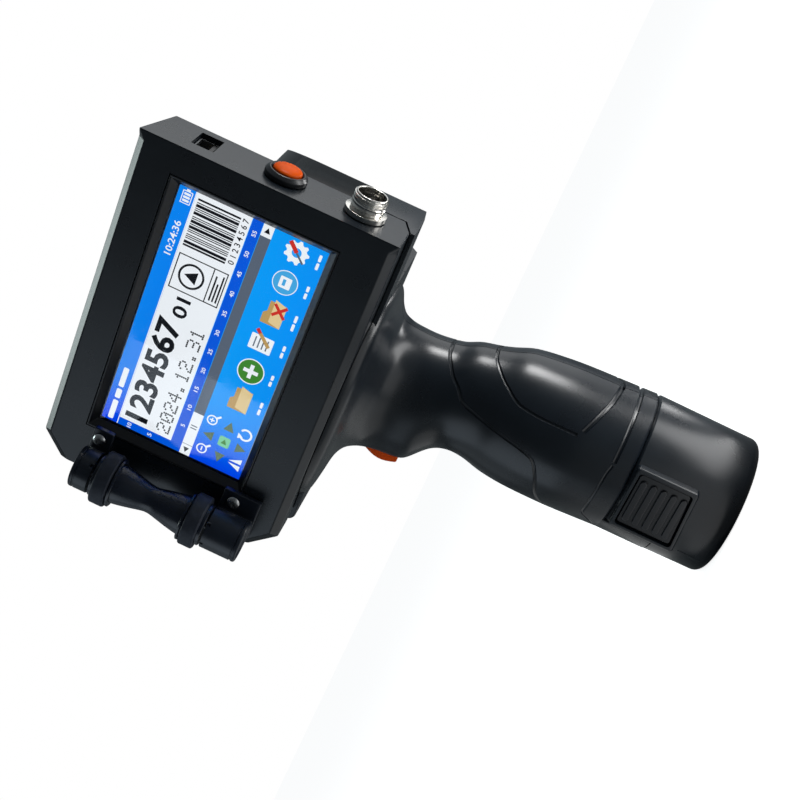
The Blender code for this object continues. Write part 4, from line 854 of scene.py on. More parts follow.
button_spot = (button_x, face_low.y, button_z)
cap_radius, cap_rise, cap_dome = 0.0050, 0.0030, 0.0015
sleeve_end = -wall - 0.0010
ring_profile = [
    (cap_radius + 0.0007, cap_rise), (cap_radius + 0.0013, cap_rise), (cap_radius + 0.0024, 0.0018),
    (cap_radius + 0.0024, 0.0003), (cap_radius + 0.0010, 0.0003), (cap_radius + 0.0010, sleeve_end),
    (cap_radius + 0.0003, sleeve_end), (cap_radius + 0.0003, cap_rise - 0.0004)]
ring = softened(turned("power_ring", ring_profile, button_spot, "Y"), 0.00018, 2)
fasten(ring, "housing", "frame_black", bezel_plastic, "power_button_bezel")
orange = moulding(
    "Orange ABS", (0.64, 0.078, 0.003), 0.34, grain_size=0.0003, grain_depth=0.000002, tone=0.08, edge_wear_and_highlight=0.2,
    specular=0.06)
cap_profile = [(0.0, cap_rise + cap_dome)]
for step in range(1, 15):
    angle = math.pi / 2 * step / 14
    cap_profile.append((cap_radius * math.sin(angle) ** 0.85, cap_rise + cap_dome * math.cos(angle)))
cap_profile += [(cap_radius, 0.0), (0.0014, 0.0), (0.0014, sleeve_end), (0.0, sleeve_end)]
fasten(
    turned("power_cap", cap_profile, button_spot, "Y"), "power_button", "button_orange", orange,
    "power_button_cap", angle=50)


# Round socket: turned brass plated with nickel, with a coarse rolled thread outside, and a black
# core that holds its pins. A hexagonal nut holds it from inside the wall.
def swept(group, curve, radius, sides):
    circle = add_node(group, "GeometryNodeCurvePrimitiveCircle", {"Resolution": sides, "Radius": radius})
    return add_node(group, "GeometryNodeCurveToMesh", {
        "Curve": curve, "Profile Curve": circle.outputs[0], "Fill Caps": True}).outputs[0]


def helix_tree():
    """A rolled thread: a helix of the radius with a ridge run along it."""
    group, given = node_tree("Rolled thread", Radius="Float", Length="Float", Pitch="Float", Ridge="Float")
    helix = add_node(group, "GeometryNodeCurveSpiral", {
        "Resolution": 40, "Rotations": maths(group, "DIVIDE", given["Length"], given["Pitch"]),
        "Start Radius": given["Radius"], "End Radius": given["Radius"], "Height": given["Length"]})
    return finish_tree(group, swept(group, helix.outputs[0], given["Ridge"], 6), given)


nickel = moulding(
    "Nickel plate", (0.74, 0.72, 0.68), 0.20, grain_size=0.0006, grain_depth=0.0000012, tone=0.10,
    edge_wear_and_highlight=0.3, metallic=1.0)
socket_spot = (socket_x, face_low.y, socket_z)
socket_radius, socket_rise, socket_bore = 0.0060, 0.0080, 0.0048
socket_end = -wall - 0.0050
socket_profile = [
    (socket_bore, socket_rise - 0.0002), (socket_bore + 0.0002, socket_rise),
    (socket_radius - 0.0006, socket_rise), (socket_radius - 0.0004, socket_rise - 0.0005),
    (socket_radius - 0.0004, 0.0022), (socket_radius + 0.0013, 0.0020), (socket_radius + 0.0013, 0.0003),
    (socket_radius - 0.0003, 0.0003), (socket_radius - 0.0003, socket_end), (socket_bore, socket_end)]
barrel = softened(turned("socket_barrel", socket_profile, socket_spot, "Y"), 0.00012, 2)
fasten(barrel, "housing", "nickel", nickel, "aviation_socket")
thread = grown("socket_thread", helix_tree(), {
    "Radius": socket_radius - 0.00048, "Length": 0.0047, "Pitch": 0.00118, "Ridge": 0.00047,
    "Material": nickel})
thread.data.transform(
    Matrix.Translation((socket_x, face_low.y - 0.0027, socket_z)) @ Matrix.Rotation(math.pi / 2, 4, "X"))
fasten(thread, "housing", "nickel", nickel, "aviation_socket")
fasten(from_node("socket_nut", "aviation_nut", 0.0002), "housing", "nickel", nickel, "aviation_nut")
phenolic = moulding("Black insulator", (0.010, 0.010, 0.011), 0.42, grain_size=0.0005, edge_wear_and_highlight=0.1)
fasten(from_node("socket_core", "aviation_core", 0.0002), "housing", "insulator", phenolic, "aviation_core")
core_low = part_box("aviation_core")[0]
bm = bmesh.new()
bmesh.ops.create_cone(
    bm, cap_ends=True, segments=16, radius1=0.00050, radius2=0.00050, depth=0.0030,
    matrix=Matrix.Rotation(math.pi / 2, 4, "X"))
pin_spots = []
for index in range(5):
    angle = math.tau * index / 5 + 0.3
    pin_spots.append((
        socket_x + 0.0026 * math.cos(angle), core_low.y - 0.0010, socket_z + 0.0026 * math.sin(angle)))
pins = copied("socket_pins", from_bmesh("pin", bm), pin_spots, stuff=nickel)
fasten(pins, "housing", "nickel", nickel)
key = block(
    "socket_key", (socket_x - 0.0006, core_low.y - 0.0030, socket_z + socket_bore - 0.0008),
    (socket_x + 0.0006, core_low.y, socket_z + socket_bore - 0.00005))
fasten(softened(key, 0.0001, 2), "housing", "nickel", nickel)

# Data port: a stamped nickel shell with a black tongue and its row of flat gold contacts, on the
# board behind a square hole in the wall.
port_shell = from_node("port_shell", "data_port", 0.0)
carve(port_shell, [block(
    "port_trim", (port_low.x - wall, port_low.y - wall, port_low.z - wall),
    (port_high.x + wall, port_low.y + 0.0016, port_high.z + wall))])
# The shell's steel is painted far darker than plating is: painted shade for the dark mouth of the port.
port_shade_steel = moulding(
    "Tinned steel", (0.20, 0.21, 0.22), 0.42, grain_size=0.0005, grain_depth=0.000002, tone=0.15,
    metallic=1.0)
fasten(port_shell, "housing", "nickel", port_shade_steel, "data_port")
fasten(from_node("port_insert", "port_tongue", 0.0001), "housing", "insulator", phenolic, "port_tongue")
tongue_low, tongue_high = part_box("port_tongue")
gold = moulding("Gold contacts", (0.83, 0.60, 0.22), 0.25, grain_depth=0.000001, tone=0.1, edge_wear_and_highlight=0.2,
    metallic=1.0)
contact = block("contact", (-0.0004, 0.0, 0.0), (0.0004, 0.0070, 0.00015))
contact_spots = [
    (tongue_low.x + (tongue_high.x - tongue_low.x) * (index + 0.5) / 4, tongue_low.y + 0.0004,
        tongue_high.z)
    for index in range(4)]
contacts = copied("port_contacts", contact, contact_spots, stuff=gold)
fasten(contacts, "housing", "nickel", gold)
back_panel = from_node("back_panel", "housing_back_panel", 0.0)
carve(back_panel, [under_slope("panel_slope", wall + 0.0004, face_high.x - 0.0040)])
fasten(softened(back_panel, 0.0003), "housing", "shell_black", charcoal, "housing_back_panel")


# Rear body: two clamshell halves in charcoal ABS that make the grip, the flange under the screen
# and the cartridge pod. Moulded lines cross the grip, and screws close it from its right side.
def eased(places, values, spot):
    """A smooth curve through the values that never overshoots them."""
    places, values = np.asarray(places), np.asarray(values)
    steps = np.diff(places)
    slopes = np.diff(values) / steps
    tangents = np.zeros(len(values))
    for index in range(1, len(values) - 1):
        before, after = slopes[index - 1], slopes[index]
        if before * after > 0:
            first, second = 2 * steps[index] + steps[index - 1], steps[index] + 2 * steps[index - 1]
            tangents[index] = (first + second) / (first / before + second / after)
    tangents[0], tangents[-1] = slopes[0], slopes[-1]
    span = int(np.clip(np.searchsorted(places, spot) - 1, 0, len(steps) - 1))
    share = (spot - places[span]) / steps[span]
    return (
        (1 + 2 * share) * (1 - share) ** 2 * values[span]
        + share * (1 - share) ** 2 * steps[span] * tangents[span]
        + share ** 2 * (3 - 2 * share) * values[span + 1]
        + share ** 2 * (share - 1) * steps[span] * tangents[span + 1])


grip_radius = 0.0264
r = grip_radius
pod_low_x, pod_high_x = -0.0235, 0.0245
flange_low, flange_high, housing_low = 0.1410, 0.1595, face_low.z
grip_rings = [
    (0.0403, 0.0, 0.0, r, r, 2.0), (0.0600, 0.0, 0.0010, r, r + 0.0001, 2.0),
    (0.0690, 0.0, 0.0013, r - 0.0006, r, 2.0), (0.0780, 0.0, 0.0017, r - 0.0018, r - 0.0004, 2.0),
    (0.0870, 0.0, 0.0020, r - 0.0039, r - 0.0014, 2.0), (0.0950, 0.0, 0.0027, r - 0.0066, r - 0.0040, 2.05),
    (0.1008, 0.0, 0.0035, r - 0.0078, r - 0.0050, 2.1), (0.1060, 0.0, 0.0052, r - 0.0082, r - 0.0046, 2.1),
    (0.1105, 0.0, 0.0090, r - 0.0079, r - 0.0033, 2.1), (0.1145, 0.0, 0.0118, r - 0.0074, r - 0.0014, 2.1),
    (0.1228, -0.0002, 0.0127, r - 0.0069, r - 0.0015, 2.1),
    (0.1300, -0.0012, 0.0126, r - 0.0054, r - 0.0012, 2.15),
    (0.1345, -0.0032, 0.0120, r - 0.0012, r - 0.0008, 2.3)]
plate_x, plate_y = (face_low.x + chamfer, 0.0185), (-0.0280, 0.0590)
neck = grip_rings[-1]
plate = (
    sum(plate_x) / 2, sum(plate_y) / 2, (plate_x[1] - plate_x[0]) / 2, (plate_y[1] - plate_y[0]) / 2)
neck_back, neck_front = neck[2] - neck[4], neck[2] + neck[4]
for share, height, power in ((0.36, 0.1373, 2.3), (0.74, 0.1389, 2.45), (0.93, 0.1404, 2.6),
        (0.97, 0.1425, 2.7)):
    x, half_x = (neck[i] + (plate[i - 1] - neck[i]) * share for i in (1, 3))
    back = neck_back + (plate_y[0] - neck_back) * share
    front = neck_front + (plate_y[1] - neck_front) * share ** 1.8
    grip_rings.append((height, x, (back + front) / 2, half_x, (front - back) / 2, power))
ring_spots = [0.0]
for lower, upper in zip(grip_rings, grip_rings[1:]):
    ring_spots.append(ring_spots[-1] + math.hypot(upper[0] - lower[0], upper[3] - lower[3],
        upper[4] - lower[4]))
ring_columns = list(zip(*grip_rings))


def ring_at(spot):
    return [float(eased(ring_spots, column, spot)) for column in ring_columns]


def ring_point(row, turn, inset=0.0):
    height, x, y, half_x, half_y, power = row
    across, along = math.cos(turn), math.sin(turn)
    return Vector((
        x + math.copysign(abs(across) ** (2 / power), across) * (half_x - inset),
        y + math.copysign(abs(along) ** (2 / power), along) * (half_y - inset), height))


def grip_loft(name, rows, inset=0.0, around=128):
    bm = bmesh.new()
    rings = [
        [bm.verts.new(ring_point(row, math.tau * index / around, inset)) for index in range(around)]
        for row in rows]
    for lower, upper in zip(rings, rings[1:]):
        for index in range(around):
            after = (index + 1) % around
            bm.faces.new((lower[index], lower[after], upper[after], upper[index]))
    bm.faces.new(rings[0])
    bm.faces.new(rings[-1])
    return from_bmesh(name, bm)


def rounded(corners, radius, steps=6):
    points = []
    for index, corner in enumerate(corners):
        here = Vector(corner)
        before = (Vector(corners[index - 1]) - here).normalized()
        after = (Vector(corners[(index + 1) % len(corners)]) - here).normalized()
        half = before.angle(after) / 2
        reach = radius / math.tan(half)
        centre = here + (before + after).normalized() * (radius / math.sin(half))
        for step in range(steps + 1):
            way = (here + before * reach).lerp(here + after * reach, step / steps) - centre
            points.append(centre + way.normalized() * radius)
    return points


slant_depth, slant_width = 0.0137, 0.0325
front_end = 0.0605


def slant(name, shift=0.0):
    """A tall wedge that slants the back right corner of the flange and of the rear cover."""
    over, slope = 0.0200, slant_depth / slant_width
    start = pod_high_x - slant_width
    return slab(name, [
        (start - over, face_low.y - over * slope + shift), (start - over, face_low.y - 2 * over),
        (pod_high_x + over, face_low.y - 2 * over),
        (pod_high_x + over, face_low.y + slant_depth + over * slope + shift)],
        "Z", flange_low - over, 0.26)


fine_rows = [ring_at(ring_spots[-1] * step / 110) for step in range(111)]
for _ in range(4):
    softer = [
        [(a + 2 * b + c) / 4 for a, b, c in zip(*fine_rows[i - 1:i + 2])]
        for i in range(1, len(fine_rows) - 1)]
    fine_rows[1:-1] = softer
first = fine_rows[0]
fine_rows[0] = first[:3] + [first[3] - 0.0007, first[4] - 0.0007, first[5]]
fine_rows.insert(1, [first[0] + 0.0007] + first[1:])
body = grip_loft("rear_body", fine_rows)
step_z = housing_low + flange_step - 0.0003
flange = slab("flange", [
    (flange_edge + 0.0003, flange_low), (flange_edge + 0.0003, housing_low - 0.0003),
    (pod_low_x, step_z), (pod_low_x, flange_high), (pod_high_x, flange_high), (pod_high_x, flange_low)],
    "Y", face_low.y, front_end)
corner_leg, corner_drop, over = 0.0077 + slant_width, 0.0052, 0.0100
slope = corner_drop / corner_leg
low_corner = slab("flange_corner", [
    (pod_high_x - corner_leg - over, flange_low - over * slope),
    (pod_high_x - corner_leg - over, flange_low - over),
    (pod_high_x + over, flange_low - over), (pod_high_x + over, flange_low + corner_drop + over * slope)],
    "Y", face_low.y - over, plate_y[0] - wall)
end_round = 0.0050
end_corner = [(front_end + over, flange_low - over), (front_end - end_round, flange_low - over)]
for step in range(11):
    angle = math.pi / 2 * (step / 10 - 1)
    end_corner.append((
        front_end - end_round + end_round * math.cos(angle),
        flange_low + end_round + end_round * math.sin(angle)))
end_corner.append((front_end + over, flange_low + end_round))
flank_x, flank_slope = 0.0203, 0.9
flank = slab("flange_flank", [
    (flank_x - over, flange_low - over * flank_slope), (pod_high_x + over, flange_low - over * flank_slope),
    (pod_high_x + over, flange_low + (pod_high_x + over - flank_x) * flank_slope)],
    "Y", face_low.y - over, 0.0050)
end_corner = slab("flange_end", end_corner, "X", face_low.x - over, pod_high_x + over)
carve(flange, [slant("slant_flange"), low_corner, end_corner])
softened(flange, 0.0009, 3, 30)
pod_low, pod_high = Vector((pod_low_x, -0.0165, 0.1413)), Vector((pod_high_x, 0.0700, 0.2310))
pod = slab("pod", rounded([
    (pod_low.y, pod_low.z), (pod_high.y, pod_low.z), (pod_high.y, pod_high.z), (pod_low.y, pod_high.z)],
    0.0030),
    "X", pod_low.x, pod_high.x)
softened(pod, 0.0007, 3, 50)
carve(body, [flange, pod], "UNION")
carve(body, [flank])

door_low, door_high = Vector((0.0223, -0.0085, 0.1515)), Vector((0.0245, 0.0640, 0.2260))
snout_z, trigger_low, trigger_high = 0.1735, 0.1158, 0.1298
inner_rows = [ring_at(ring_spots[12] * step / 40) for step in range(41)]
inner_rows.insert(0, [0.0378] + inner_rows[0][1:])
inner_rows.append([flange_low + 2 * wall] + inner_rows[-1][1:])
gap = 0.0003
cutters = [
    grip_loft("grip_hollow", inner_rows, wall, 96),
    block("pod_hollow", pod_low + Vector((wall, wall, wall)), pod_high - Vector((wall, wall, wall))),
    block("flange_hollow", (pod_low_x + wall, face_low.y + slant_depth + wall,
        flange_low + corner_drop + wall),
          (pod_high_x - wall, pod_low.y + 2 * wall, flange_high + wall)),
    block("trigger_window", (-0.0062, 0.0278, trigger_low - gap), (0.0062, 0.0508, trigger_high + gap)),
    block("door_opening", (pod_high_x - 2 * wall, door_low.y - gap, door_low.z - gap),
          (pod_high_x + wall, door_high.y + gap, door_high.z + gap)),
    block("nozzle_window", (-0.0070, pod_high.y - 2 * wall, snout_z - 0.0180),
          (0.0070, pod_high.y + 2 * wall, snout_z + 0.0180))]
screw_radius = 0.0026
screw_spots = []
for index in range(5):
    low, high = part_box(f"body_screw_{index + 1}")
    spot = Vector((low.x, (low.y + high.y) / 2, (low.z + high.z) / 2))
    screw_spots.append(spot)
    hole = turned("screw_hole", [(0.0, -0.0003), (screw_radius + gap, -0.0003),
        (screw_radius + gap, 0.03), (0.0, 0.03)],
                  spot, "X", 40)
    cutters.append(hole)
carve(body, cutters)
tongue_start = math.asin(0.0135 / (r - 0.0021))
tongue_turns = [tongue_start + (math.pi - 2 * tongue_start) * step / 40 for step in range(41)]
tongue = slab(
    "grip_tongue",
    [(math.cos(a) * r, math.sin(a) * r) for a in tongue_turns]
    + [(math.cos(a) * (r - 0.0021), math.sin(a) * (r - 0.0021)) for a in reversed(tongue_turns)],
    "Z", 0.0220, 0.0443)
softened(tongue, 0.0004, 2, 40)
carve(body, [tongue], "UNION")


# The moulded lines of each half: soft V grooves and two deeper slots that run over the grip's
# skin, cut by sweeping a small round tool along them.
def groove_tree():
    """A round tool swept along a line of points."""
    group, given = node_tree("Swept tool", Radius="Float")
    line = add_node(group, "GeometryNodeMeshToCurve", {"Mesh": given["Geometry"]}).outputs[0]
    return finish_tree(group, swept(group, line, given["Radius"], 10), given)


def on_grip(turn, height, proud=0.0):
    """A point over the grip's skin at a turn in degrees round the ring, at a height."""
    low, high = 0.0, ring_spots[12]
    for _ in range(24):
        middle_spot = (low + high) / 2
        if ring_at(middle_spot)[0] < height:
            low = middle_spot
        else:
            high = middle_spot
    return ring_point(ring_at(low), math.radians(turn), -proud)


def groove_path(corners, proud, steps=9):
    """A smooth run over the skin through (turn, height in mm) corners."""
    spots = [0.0]
    for (t0, h0), (t1, h1) in zip(corners, corners[1:]):
        spots.append(spots[-1] + math.hypot((t1 - t0) * 0.46, h1 - h0))
    turns, heights = [c[0] for c in corners], [c[1] for c in corners]
    count = steps * (len(corners) - 1)
    path = []
    for step in range(count + 1):
        spot = spots[-1] * step / count
        turn, height = float(eased(spots, turns, spot)), float(eased(spots, heights, spot))
        path.append(on_grip(turn, height / 1000, proud))
    return path


groove = groove_tree()
grip_lines = [
    (0.00075, 0.00016, [(269.7, 114.9), (254, 114.6), (236, 112.2), (211, 107), (194, 102.3), (185, 90.8),
                        (180, 76.7), (177, 73.0), (165, 69.6), (140, 65.6), (122, 60.9)]),
    (0.00075, 0.00016, [(269.7, 99.4), (255, 98.8), (244, 97.2), (224, 91.6), (212, 84.4), (210, 73.2),
        (210, 62.7)]),
    (0.00110, -0.00010, [(214, 61.2), (228, 58.6), (250, 55.4), (269.7, 54.0)]),
    (0.00095, -0.00005, [(201, 47.1), (221, 47.0), (242, 47.0), (269.7, 46.9)]),
    (0.00062, 0.00020, [(199, 47.2), (190, 48.0), (148, 48.6), (136, 44.5), (124, 41.2)])]
for label, side in (("left", -1), ("right", 1)):
    reach = (-0.5, -gap / 2) if side < 0 else (gap / 2, 0.5)
    half = bpy.data.objects.new(f"body_half_{label}", body.data.copy())
    bpy.context.scene.collection.objects.link(half)
    carve(half, [block("half_side", (reach[0], -0.5, -0.5), (reach[1], 0.5, 0.5))], "INTERSECT")
    tools = []
    for radius, proud, corners in grip_lines:
        if side > 0:
            corners = [(540 - turn, height) for turn, height in corners]
        path = groove_path(corners, proud)
        tool = grown("groove_tool", groove, {"Radius": radius, "Material": charcoal}, path,
                     [(i, i + 1) for i in range(len(path) - 1)])
        bm = bmesh.new()
        bm.from_mesh(tool.data)
        bpy.data.objects.remove(tool)
        tools.append(from_bmesh("groove_tool", bm))
    carve(half, tools)
    fasten(half, "housing", "shell_black", charcoal, f"body_{label}", angle=35)
bpy.data.objects.remove(body)


# Rear cover: a hood in gloss black ABS over the electronics behind the pod, slanted at its back
# right corner, and held by hooks under the flange.
gloss = moulding(
    "Gloss black ABS", (0.0045, 0.0050, 0.0060), 0.13, grain_size=0.0016, grain_depth=0.0000012, tone=0.08,
    gloss_change=0.04, edge_wear_and_highlight=0.25)
hood_top, hood_low, hood_round = 0.2012, flange_high + gap, 0.0215


def hood_side(inset, drop=0.0, reach=0.0):
    """The hood's outline in Y and Z: square at the pod, well rounded at its top back."""
    back, front = face_low.y + gap + inset, pod_low.y - gap - inset + reach
    outline = [(front, hood_low - drop), (front, hood_top - inset)]
    for step in range(17):
        angle = math.pi / 2 + math.pi / 2 * step / 16
        outline.append((
            back - inset + hood_round + (hood_round - inset) * math.cos(angle),
            hood_top - hood_round + (hood_round - inset) * math.sin(angle)))
    outline.append((back, hood_low - drop))
    return outline


trim, hood_edge = 0.0100, 0.0110
hood = slab("hood", hood_side(0.0, trim, trim), "X", pod_low_x, pod_high_x)
shoulder = [(pod_high_x - hood_edge, hood_top + trim)]
for step in range(13):
    angle = math.pi / 2 * (1 - step / 12)
    shoulder.append((
        pod_high_x - hood_edge + hood_edge * math.cos(angle),
        hood_top - hood_edge + hood_edge * math.sin(angle)))
shoulder += [(pod_high_x + trim, hood_top - hood_edge), (pod_high_x + trim, hood_top + trim)]
carve(hood, [slant("slant_hood"), slab("hood_shoulder", shoulder, "Y", face_low.y - trim, 0.1)])
softened(hood, 0.0014, 3, 35)
hood_front = pod_low.y - gap
carve(hood, [
    block("hood_foot", (-0.1, -0.2, hood_low - 2 * trim), (0.1, 0.1, hood_low)),
    block("hood_mouth", (-0.1, hood_front, hood_low - 3 * trim),
        (0.1, hood_front + 2 * trim, hood_top + trim))])
softened(hood, 0.0003, 2, 50)
thick = 2 * wall
hood_hollow = slab("hood_hollow", hood_side(thick, thick), "X", pod_low_x + thick, pod_high_x - thick)
carve(hood_hollow, [slant("slant_hollow", thick * 1.1)])
carve(hood, [hood_hollow])
# The hood's material is a darker copy of the gloss black with its reflection cut down: painted shade that
# keeps the hood as black as it lies in shade.
hood_shaded_black = moulding(
    "Hood black ABS", (0.0025, 0.0028, 0.0035), 0.26, grain_size=0.0016, grain_depth=0.0000012, tone=0.08,
    gloss_change=0.04, edge_wear_and_highlight=0.2, specular=0.09)
fasten(hood, "housing", "gloss_black", hood_shaded_black, "rear_cover", angle=40)

# Cartridge door: a flat gloss door in the pod's right side, with a finger scoop along its front
# edge, that turns on a steel pin in two pressed brackets.
door = from_node("door", "cartridge_door", 0.0)
scoop = turned(
    "door_scoop", [(0.0, -0.0016), (0.0060, -0.0016), (0.0074, 0.0), (0.0082, 0.0010), (0.0, 0.0010)],
    (pod_high_x - 0.0001, door_high.y - 0.0090, (door_low.z + door_high.z) / 2), "X")
scoop.data.transform(Matrix.Scale(1.0, 4))
panel_line = []
for inset in (0.0060, 0.0068):
    panel_line.append(slab("door_line", rounded([
        (door_low.y + inset, door_low.z + inset),
        (door_high.y - 0.0180 - inset + 0.006, door_low.z + inset),
        (door_high.y - 0.0180 - inset + 0.006, door_high.z - inset),
        (door_low.y + inset, door_high.z - inset)],
        0.0040), "X", pod_high_x - 0.0004, pod_high_x + 0.0010))
carve(panel_line[0], [panel_line[1]])
carve(door, [scoop, panel_line[0]])
softened(door, 0.00025, 2, 40)
fasten(door, "door", "gloss_black", gloss, "cartridge_door", angle=40)
steel = moulding(
    "Plated steel", (0.56, 0.57, 0.58), 0.28, grain_size=0.0002, grain_depth=0.0000012, tone=0.10, edge_wear_and_highlight=0.3,
    metallic=1.0)
for node in ("hinge_bracket_lower", "hinge_bracket_upper", "door_hinge_pin"):
    fasten(from_node(f"{node}_made", node, 0.00025), "housing", "steel", steel, node)


# Print face: a stamped and brushed steel plate screwed over the pod's front, with the cartridge's
# black snout and its bare nozzle strip in the window.
def brushed_steel():
    stuff, tree, shader = new_material("Brushed steel", {"Metallic": 1.0})
    brush = noise(tree, stretched(tree, (2600.0, 2600.0, 26.0)), 1.0, 3.0)
    feed(tree, shader, {
        "Base Color": ranged(tree, brush, 0.3, 0.7, 0.45, 0.68),
        "Roughness": ranged(tree, brush, 0.3, 0.7, 0.24, 0.40), "Normal": bumped(tree, brush, 0.000003)})
    return stuff


brushed = brushed_steel()
plate_low, plate_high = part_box("print_plate")
face_plate = slab("face_plate", rounded([
    (plate_low.x, plate_low.z), (plate_high.x, plate_low.z), (plate_high.x, plate_high.z),
    (plate_low.x, plate_high.z)], 0.0030), "Y", plate_low.y, plate_high.y)
window_frame = slab("plate_window", rounded([
    (-0.0070, snout_z - 0.0180), (0.0070, snout_z - 0.0180), (0.0070, snout_z + 0.0180),
    (-0.0070, snout_z + 0.0180)], 0.0015), "Y", plate_low.y - wall, plate_high.y + wall)
carve(face_plate, [window_frame])
softened(face_plate, 0.00025, 2)
fasten(face_plate, "housing", "steel", brushed, "print_plate")
cartridge_black = moulding(
    "Cartridge black", (0.014, 0.014, 0.015), 0.30, grain_size=0.0005, grain_depth=0.000003, tone=0.1)
fasten(
    from_node("cartridge", "ink_cartridge", 0.0004), "housing", "cartridge_black", cartridge_black,
    "ink_cartridge")
snout_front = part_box("ink_cartridge")[1].y
nozzle_strip = block(
    "nozzle_strip", (-0.0030, snout_front - 0.0006, snout_z - 0.0140),
    (0.0030, snout_front + 0.00015, snout_z + 0.0140))
fasten(softened(nozzle_strip, 0.0001, 1), "housing", "cartridge_black", gold)
bm = bmesh.new()
bmesh.ops.create_cone(
    bm, cap_ends=True, segments=8, radius1=0.00016, radius2=0.00016, depth=0.0002,
    matrix=Matrix.Rotation(math.pi / 2, 4, "X"))
nozzles = [
    (x, snout_front + 0.0002, snout_z - 0.0120 + 0.0008 * index)
    for x in (-0.0010, 0.0010) for index in range(31)]
fasten(
    copied("nozzle_holes", from_bmesh("nozzle", bm), nozzles, stuff=cartridge_black), "housing",
    "cartridge_black", cartridge_black)
fasten(from_node("cradle", "cartridge_cradle", 0.0004), "housing", "shell_black", charcoal,
    "cartridge_cradle")

# Screws: pan head steel screws with a cross recess, pressed from wire and zinc plated. Five close
# the halves from the right, and two hold the roller's feet through the screen's face.
recess_arm = 0.0013
head_profile = [(0.0, 0.0012), (0.0009, 0.00118), (0.0017, 0.0010), (0.0023, 0.0006), (0.0026, 0.00015),
                (0.0026, 0.0), (0.0, 0.0)]


def screw_head(name, scale=1.0):
    head = turned(name, [(a * scale, b * scale) for a, b in head_profile], (0, 0, 0), "X", 40)
    cross = []
    for y, z in ((recess_arm, 0.00028), (0.00028, recess_arm)):
        cross.append(block("cross", (0.0004, -y * scale, -z * scale), (0.0030, y * scale, z * scale)))
    return carve(head, cross)


body_screws = copied("body_screws", screw_head("screw"),
    [spot + Vector((gap, 0, 0)) for spot in screw_spots], stuff=steel)
fasten(
    body_screws, "housing", "steel", steel, *(f"body_screw_{index}" for index in range(1, 6)), angle=25)
roller_screw_spots = []
for index in (1, 2):
    low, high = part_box(f"roller_screw_{index}")
    roller_screw_spots.append((high.x, (low.y + high.y) / 2, (low.z + high.z) / 2))
roller_screws = copied(
    "roller_screws", screw_head("screw", 0.9), roller_screw_spots, (0.0, 0.0, math.pi), steel)
fasten(roller_screws, "housing", "steel", steel, "roller_screw_1", "roller_screw_2", angle=25)
corner_spots = [
    (x, plate_high.y, z) for x in (plate_low.x + 0.0045, plate_high.x - 0.0045)
    for z in (plate_low.z + 0.0045, plate_high.z - 0.0045)]
plate_screws = copied(
    "plate_screws", screw_head("screw", 0.7), corner_spots, (0.0, 0.0, math.pi / 2), steel)
fasten(plate_screws, "housing", "steel", steel, angle=25)

# Trigger: a short bowed button in orange ABS, hollowed at the back for its return spring, a coil
# of steel wire that bears on the snap switch.
dark_orange = moulding(
    "Trigger orange ABS", (0.84, 0.088, 0.004), 0.34, grain_size=0.0004, grain_depth=0.000003, tone=0.1,
    edge_wear_and_highlight=0.3, specular=0.06)
trigger = from_node("trigger_key", "trigger_button", 0.0)
softened(trigger, 0.0009, 3, 45)
fasten(trigger, "trigger", "button_orange", dark_orange, "trigger_button", angle=50)
fasten(from_node("spring", "trigger_spring", 0.0), "housing", "steel", steel, "trigger_spring", angle=60)
fasten(from_node("snap_switch", "trigger_switch", 0.0003), "housing", "insulator", phenolic,
    "trigger_switch")

# Battery: a round base in charcoal ABS with a tower of three cells that slides up into the grip.
# The grip's tongue lies in a step cut in its front, and a plain label panel is recessed beside it.
tower_radius, tower_top, bore_radius = 0.0222, 0.0720, 0.0203
base_top, tongue_low = 0.0400, 0.0220
edge_profile = [(0.0, base_top), (r - 0.0008, base_top), (r, base_top - 0.0008)]
for step in range(13):
    angle = math.pi / 2 * step / 12
    edge_profile.append((r - 0.0039 + 0.0035 * math.cos(angle), 0.0035 - 0.0035 * math.sin(angle)))
edge_profile.append((0.0, 0.0))
pack = turned("battery_base", edge_profile, (0, 0, 0), steps=144)
tower = turned("battery_tower", [
    (0.0, tower_top), (tower_radius - 0.0006, tower_top), (tower_radius, tower_top - 0.0006),
    (tower_radius, base_top - wall), (0.0, base_top - wall)], (0, 0, 0), steps=144)
latch_half, latch_low, latch_high, latch_face = 0.0110, 0.0162, 0.0377, 0.0266


def latch_outline(inset):
    half, low, high = latch_half - inset, latch_low + inset, latch_high - inset
    return rounded([(-half, low + 0.0015), (half, low), (half, high), (-half, high)], 0.0012)


def latch_solid(name, side, inset, inner, outer):
    low, high = sorted((side * inner, side * outer))
    return slab(name, latch_outline(inset), "X", low, high)


pads = [softened(latch_solid("latch_pad", side, -0.0016, latch_face - 0.006, latch_face), 0.0011, 4)
    for side in (-1, 1)]
carve(pack, [tower, *pads], "UNION")
notch = block("notch", (-0.0364, 0.0132, tongue_low - gap), (0.0364, 0.0364, base_top + gap))
carve(notch, [turned("notch_core", [(0.0, 0.08), (r - wall - gap, 0.08), (r - wall - gap, -0.01),
    (0.0, -0.01)], (0, 0, 0), steps=144)])
base_hollow = turned("base_hollow", [
    (0.0, tongue_low - gap - wall), (r - wall - 0.0004, tongue_low - gap - wall),
    (r - wall - 0.0004, wall), (0.0, wall)],
    (0, 0, 0), steps=96)
bore = turned("cell_bore", [
    (0.0, tower_top + wall), (bore_radius, tower_top + wall), (bore_radius, wall), (0.0, wall)],
    (0, 0, 0), steps=96)
windows = [latch_solid("latch_window", side, 0.0, bore_radius - gap, latch_face + wall) for side in (-1, 1)]
carve(pack, [notch, base_hollow, bore, *windows])
label_tools = []
